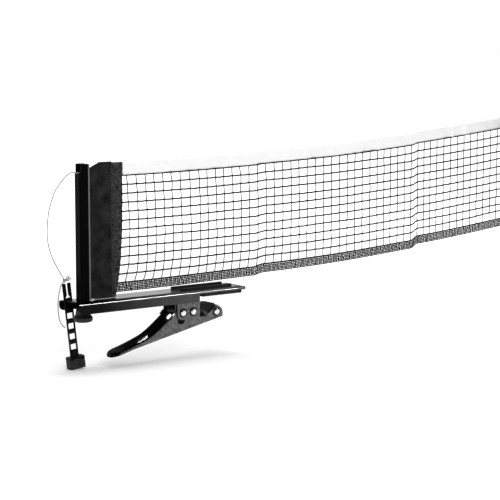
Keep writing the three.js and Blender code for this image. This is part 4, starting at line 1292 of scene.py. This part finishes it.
class CLAMP_OT_spring(bpy.types.Operator):
    """The torsion spring: a leg under the bracket, turns round the pivot and a foot on the lever"""

    bl_idname = "net_clamp.spring"
    bl_label = "Spring"

    def execute(self, context):
        s, c = context.scene.clamp_metal, context.scene.clamp_colours
        low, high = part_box("pivot_spacer")
        middle = np.array([(low.x + high.x) / 2, 0, (low.z + high.z) / 2])
        r, half = s.coil / MM, s.coil_width / 2 / MM
        leg_top = (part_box("torsion_spring")[1].z - middle[2]) / MM
        leg = [(-r, -half, leg_top * share) for share in SPRING_LEG]
        count = 8 * s.turns
        turn = np.linspace(np.pi, np.pi + 2 * np.pi * s.turns - SPRING_SHORT, count + 1)
        coil = np.stack([r * np.cos(turn), np.linspace(-half, half, count + 1),
                         r * np.sin(turn)], axis=1)
        foot = [(x, half, z) for x, z in SPRING_FOOT]
        path = smooth_path(np.vstack([leg, coil, foot]), 900) * MM + middle
        steel = bright_metal("spring_wire", c.spring_steel, 0.26, 0.16)
        piece = tube("torsion_spring_wire", steel, path, s.wire / 2, (0, 1, 0), sides=14)
        sharp_over(piece, 50)
        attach(piece, "frame")
        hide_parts("torsion_spring")
        return {"FINISHED"}


class CLAMP_OT_knob(bpy.types.Operator):
    """The height knob: a cone that flares into a fluted rim"""

    bl_idname = "net_clamp.knob"
    bl_label = "Height knob"

    def execute(self, context):
        s, c = context.scene.clamp_metal, context.scene.clamp_colours
        low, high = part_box("height_knob")
        tall = high.z - low.z
        neck = ((0.0080, tall - 0.0005), (0.0075, tall), (0.0031, tall), (0.0029, tall - 0.0004))
        profile = np.array([(r, 0, z) for r, z in KNOB_OUTSIDE + neck + KNOB_BORE])
        line = even_path(profile, 90)
        r, z = line[:, :1], line[:, 2:]
        turn = full_turn(192)[None]
        flute = np.clip(np.cos(s.flutes * turn), 0, 1) ** 1.5
        below = np.clip((FLUTE_TOP - z) / FLUTE_TOP_RUN, 0, 1)
        outside = np.clip((r - FLUTE_INSIDE) / FLUTE_INSIDE_RUN, 0, 1)
        rr = r - s.flute_depth * below * outside * flute
        points = np.stack([POST_X + rr * np.cos(turn), rr * np.sin(turn), low.z + z + 0 * turn],
                          axis=-1)
        moulded = plastic("knob_plastic", c.black_plastic, 0.30, specular=0.3)
        piece = skin("height_knob_moulded", moulded, points, around=True, caps=True)
        sharp_over(piece, 38)
        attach(piece, "knob")
        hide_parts("height_knob")
        return {"FINISHED"}


# ---- Finishes on the clamp's own pieces ---------------------------------------------------------

WELD = 0.003 * MM  # corners closer than this are one
FLAT = math.radians(0.6)  # faces that turn by less than this are one
EDGE_ANGLE = math.radians(42)  # edges that turn by more than this are rounded


def outer_sides(data):
    """For each face, 0 on the two outer sides across Y and 1 elsewhere: a side's normal points
    along Y away from the middle, and its centre lies in the outermost tenth."""
    normals = np.empty(len(data.polygons) * 3, np.float32)
    data.polygons.foreach_get("normal", normals)
    centres = np.empty(len(data.polygons) * 3, np.float32)
    data.polygons.foreach_get("center", centres)
    across = centres[1::3]
    outermost = np.abs(across) > 0.9 * np.abs(across).max()
    return (normals[1::3] * np.sign(across) * outermost < 0.7).astype(np.int32)


def dress(node, material, rounding, other=None, fuller=0.0):
    """A CAD piece keeps its shape: its loose triangles are joined, its edges get a fine rounding,
    and its flat faces keep flat shading. other is the finish of every face but the two outer
    sides across Y: a shaded copy of the paint beside a lit one, painted light and shade. fuller
    moves every corner out by that much."""
    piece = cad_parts[node]
    data = piece.data
    data.materials.clear()
    data.materials.append(material)
    # Painted light and shade: the outer sides keep the lit finish, and every other face gets the
    # shaded one.
    if other:
        data.materials.append(other)
        data.polygons.foreach_set("material_index", outer_sides(data))
    data.polygons.foreach_set("use_smooth", np.ones(len(data.polygons), bool))
    weld = piece.modifiers.new("Join", "WELD")
    weld.merge_threshold = WELD
    flat = piece.modifiers.new("Flat faces", "DECIMATE")
    flat.decimate_type, flat.angle_limit, flat.delimit = "DISSOLVE", FLAT, {"MATERIAL"}
    if fuller:
        swell = piece.modifiers.new("Fuller", "DISPLACE")
        swell.strength, swell.mid_level, swell.direction = fuller, 0.0, "NORMAL"
    if rounding:
        bevel = piece.modifiers.new("Rounding", "BEVEL")
        bevel.width, bevel.segments, bevel.miter_outer = rounding, 2, "MITER_ARC"
        bevel.limit_method, bevel.angle_limit = "ANGLE", EDGE_ANGLE
    even = piece.modifiers.new("Shading", "WEIGHTED_NORMAL")
    even.keep_sharp, even.weight = True, 50


class CLAMP_OT_finishes(bpy.types.Operator):
    """Paint, plate, plastic and rubber on the pieces that keep their own shape"""

    bl_idname = "net_clamp.finishes"
    bl_label = "Finishes"

    def execute(self, context):
        c = context.scene.clamp_colours
        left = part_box("jaw_rail")[0].x
        # Painted light: the rail's colour grows 44 times along X towards its right end. Painted
        # shade: a strip along its top just inside the near bend has no gloss.
        rail = paint("rail_black", times(c.black_paint, 0.4), 0.11, specular=0.09,
                     painted_light_gradient=(left + 0.03, left + 0.155, 44.0), dark_reflection_strip=(-0.0160, 0.0064, 0.0300))
        post = paint("post_black", times(c.black_paint, 0.3), 0.32, specular=0.015)
        # The lever and bracket are one paint in two copies, painted light and shade: a lit grey on
        # their outer sides and a shaded black on every other face.
        inside = paint("lever_shaded_faces", times(c.black_paint, 0.5), 0.12, specular=0.05)
        grey = satin_metal("lever_lit_sides", c.lit_side_paint, 0.42, 0.75)
        screw = bright_metal("screw_nickel", c.nickel, 0.22, 0.10)
        # The grip's crests get a painted highlight.
        ribs = (-0.0635, 0.0024, math.radians(6.6), c.crest_highlight)
        strap = plastic("strap_plastic", times(c.black_plastic, 0.6), 0.40, specular=0.05,
                        ribs=ribs)
        moulded = times(c.black_plastic, 1.3)
        shoe = plastic("shoe_plastic", moulded, 0.48, 420, 0.08 * MM)
        foot = plastic("foot_plastic", moulded, 0.5)
        ribbed = rubber("jaw_rubber", c.black_rubber)
        fine = 0.2 * MM
        dress("jaw_rail", rail, 0.25 * MM)
        dress("squeeze_lever", grey, 0.9 * MM, other=inside)
        dress("lever_bracket", grey, 0.4 * MM, other=inside)
        dress("tension_strap", strap, fine, fuller=0.3 * MM)
        dress("jaw_shoe", shoe, 0.4 * MM)
        for material, rounding, nodes in (
            (post, fine, ("post_bridge", "net_post")),
            (foot, fine, ("post_foot",)),
            (ribbed, fine, ("jaw_pad", "shoe_pad")),
            (foot, 0, ("sleeve_rod",)),
            (screw, 0, ("pivot_spacer", "stop_spacer", "height_screw", "screw_collar")),
        ):
            for node in nodes:
                dress(node, material, rounding)
        return {"FINISHED"}


# ---- Panel and registration -----------------------------------------------------------------


STEPS = (CLAMP_OT_cord, CLAMP_OT_net, CLAMP_OT_bead, CLAMP_OT_sleeve, CLAMP_OT_rivets,
         CLAMP_OT_spring, CLAMP_OT_knob, CLAMP_OT_finishes, CLAMP_OT_studio)
GROUPS = {"clamp_studio": StudioSizes, "clamp_cord": CordSizes, "clamp_net": NetSizes,
          "clamp_sleeve": SleeveSizes, "clamp_metal": MetalSizes, "clamp_colours": FinishColours}


class CLAMP_PT_panel(bpy.types.Panel):
    """Steps, sizes and colours of the net clamp"""

    bl_idname = "CLAMP_PT_panel"
    bl_label = "Net clamp"
    bl_space_type = "VIEW_3D"
    bl_region_type = "UI"
    bl_category = "Net clamp"

    def draw(self, context):
        for step in STEPS:
            self.layout.operator(step.bl_idname)
        for name, group in GROUPS.items():
            box = self.layout.box()
            for key in group.__annotations__:
                box.prop(getattr(context.scene, name), key)


def register():
    """Makes the groups, the steps and the panel known."""
    for name, group in GROUPS.items():
        bpy.utils.register_class(group)
        setattr(bpy.types.Scene, name, PointerProperty(type=group))
    for step in STEPS:
        bpy.utils.register_class(step)
    bpy.utils.register_class(CLAMP_PT_panel)


def unregister():
    """Takes them away again, in the other order."""
    bpy.utils.unregister_class(CLAMP_PT_panel)
    for step in reversed(STEPS):
        bpy.utils.unregister_class(step)
    for name in reversed(GROUPS):
        delattr(bpy.types.Scene, name)
        bpy.utils.unregister_class(GROUPS[name])


def main():
    """Runs the steps in order."""
    register()
    for step in STEPS:
        family, call = step.bl_idname.split(".")
        getattr(getattr(bpy.ops, family), call)()


if __name__ == "__main__":
    main()
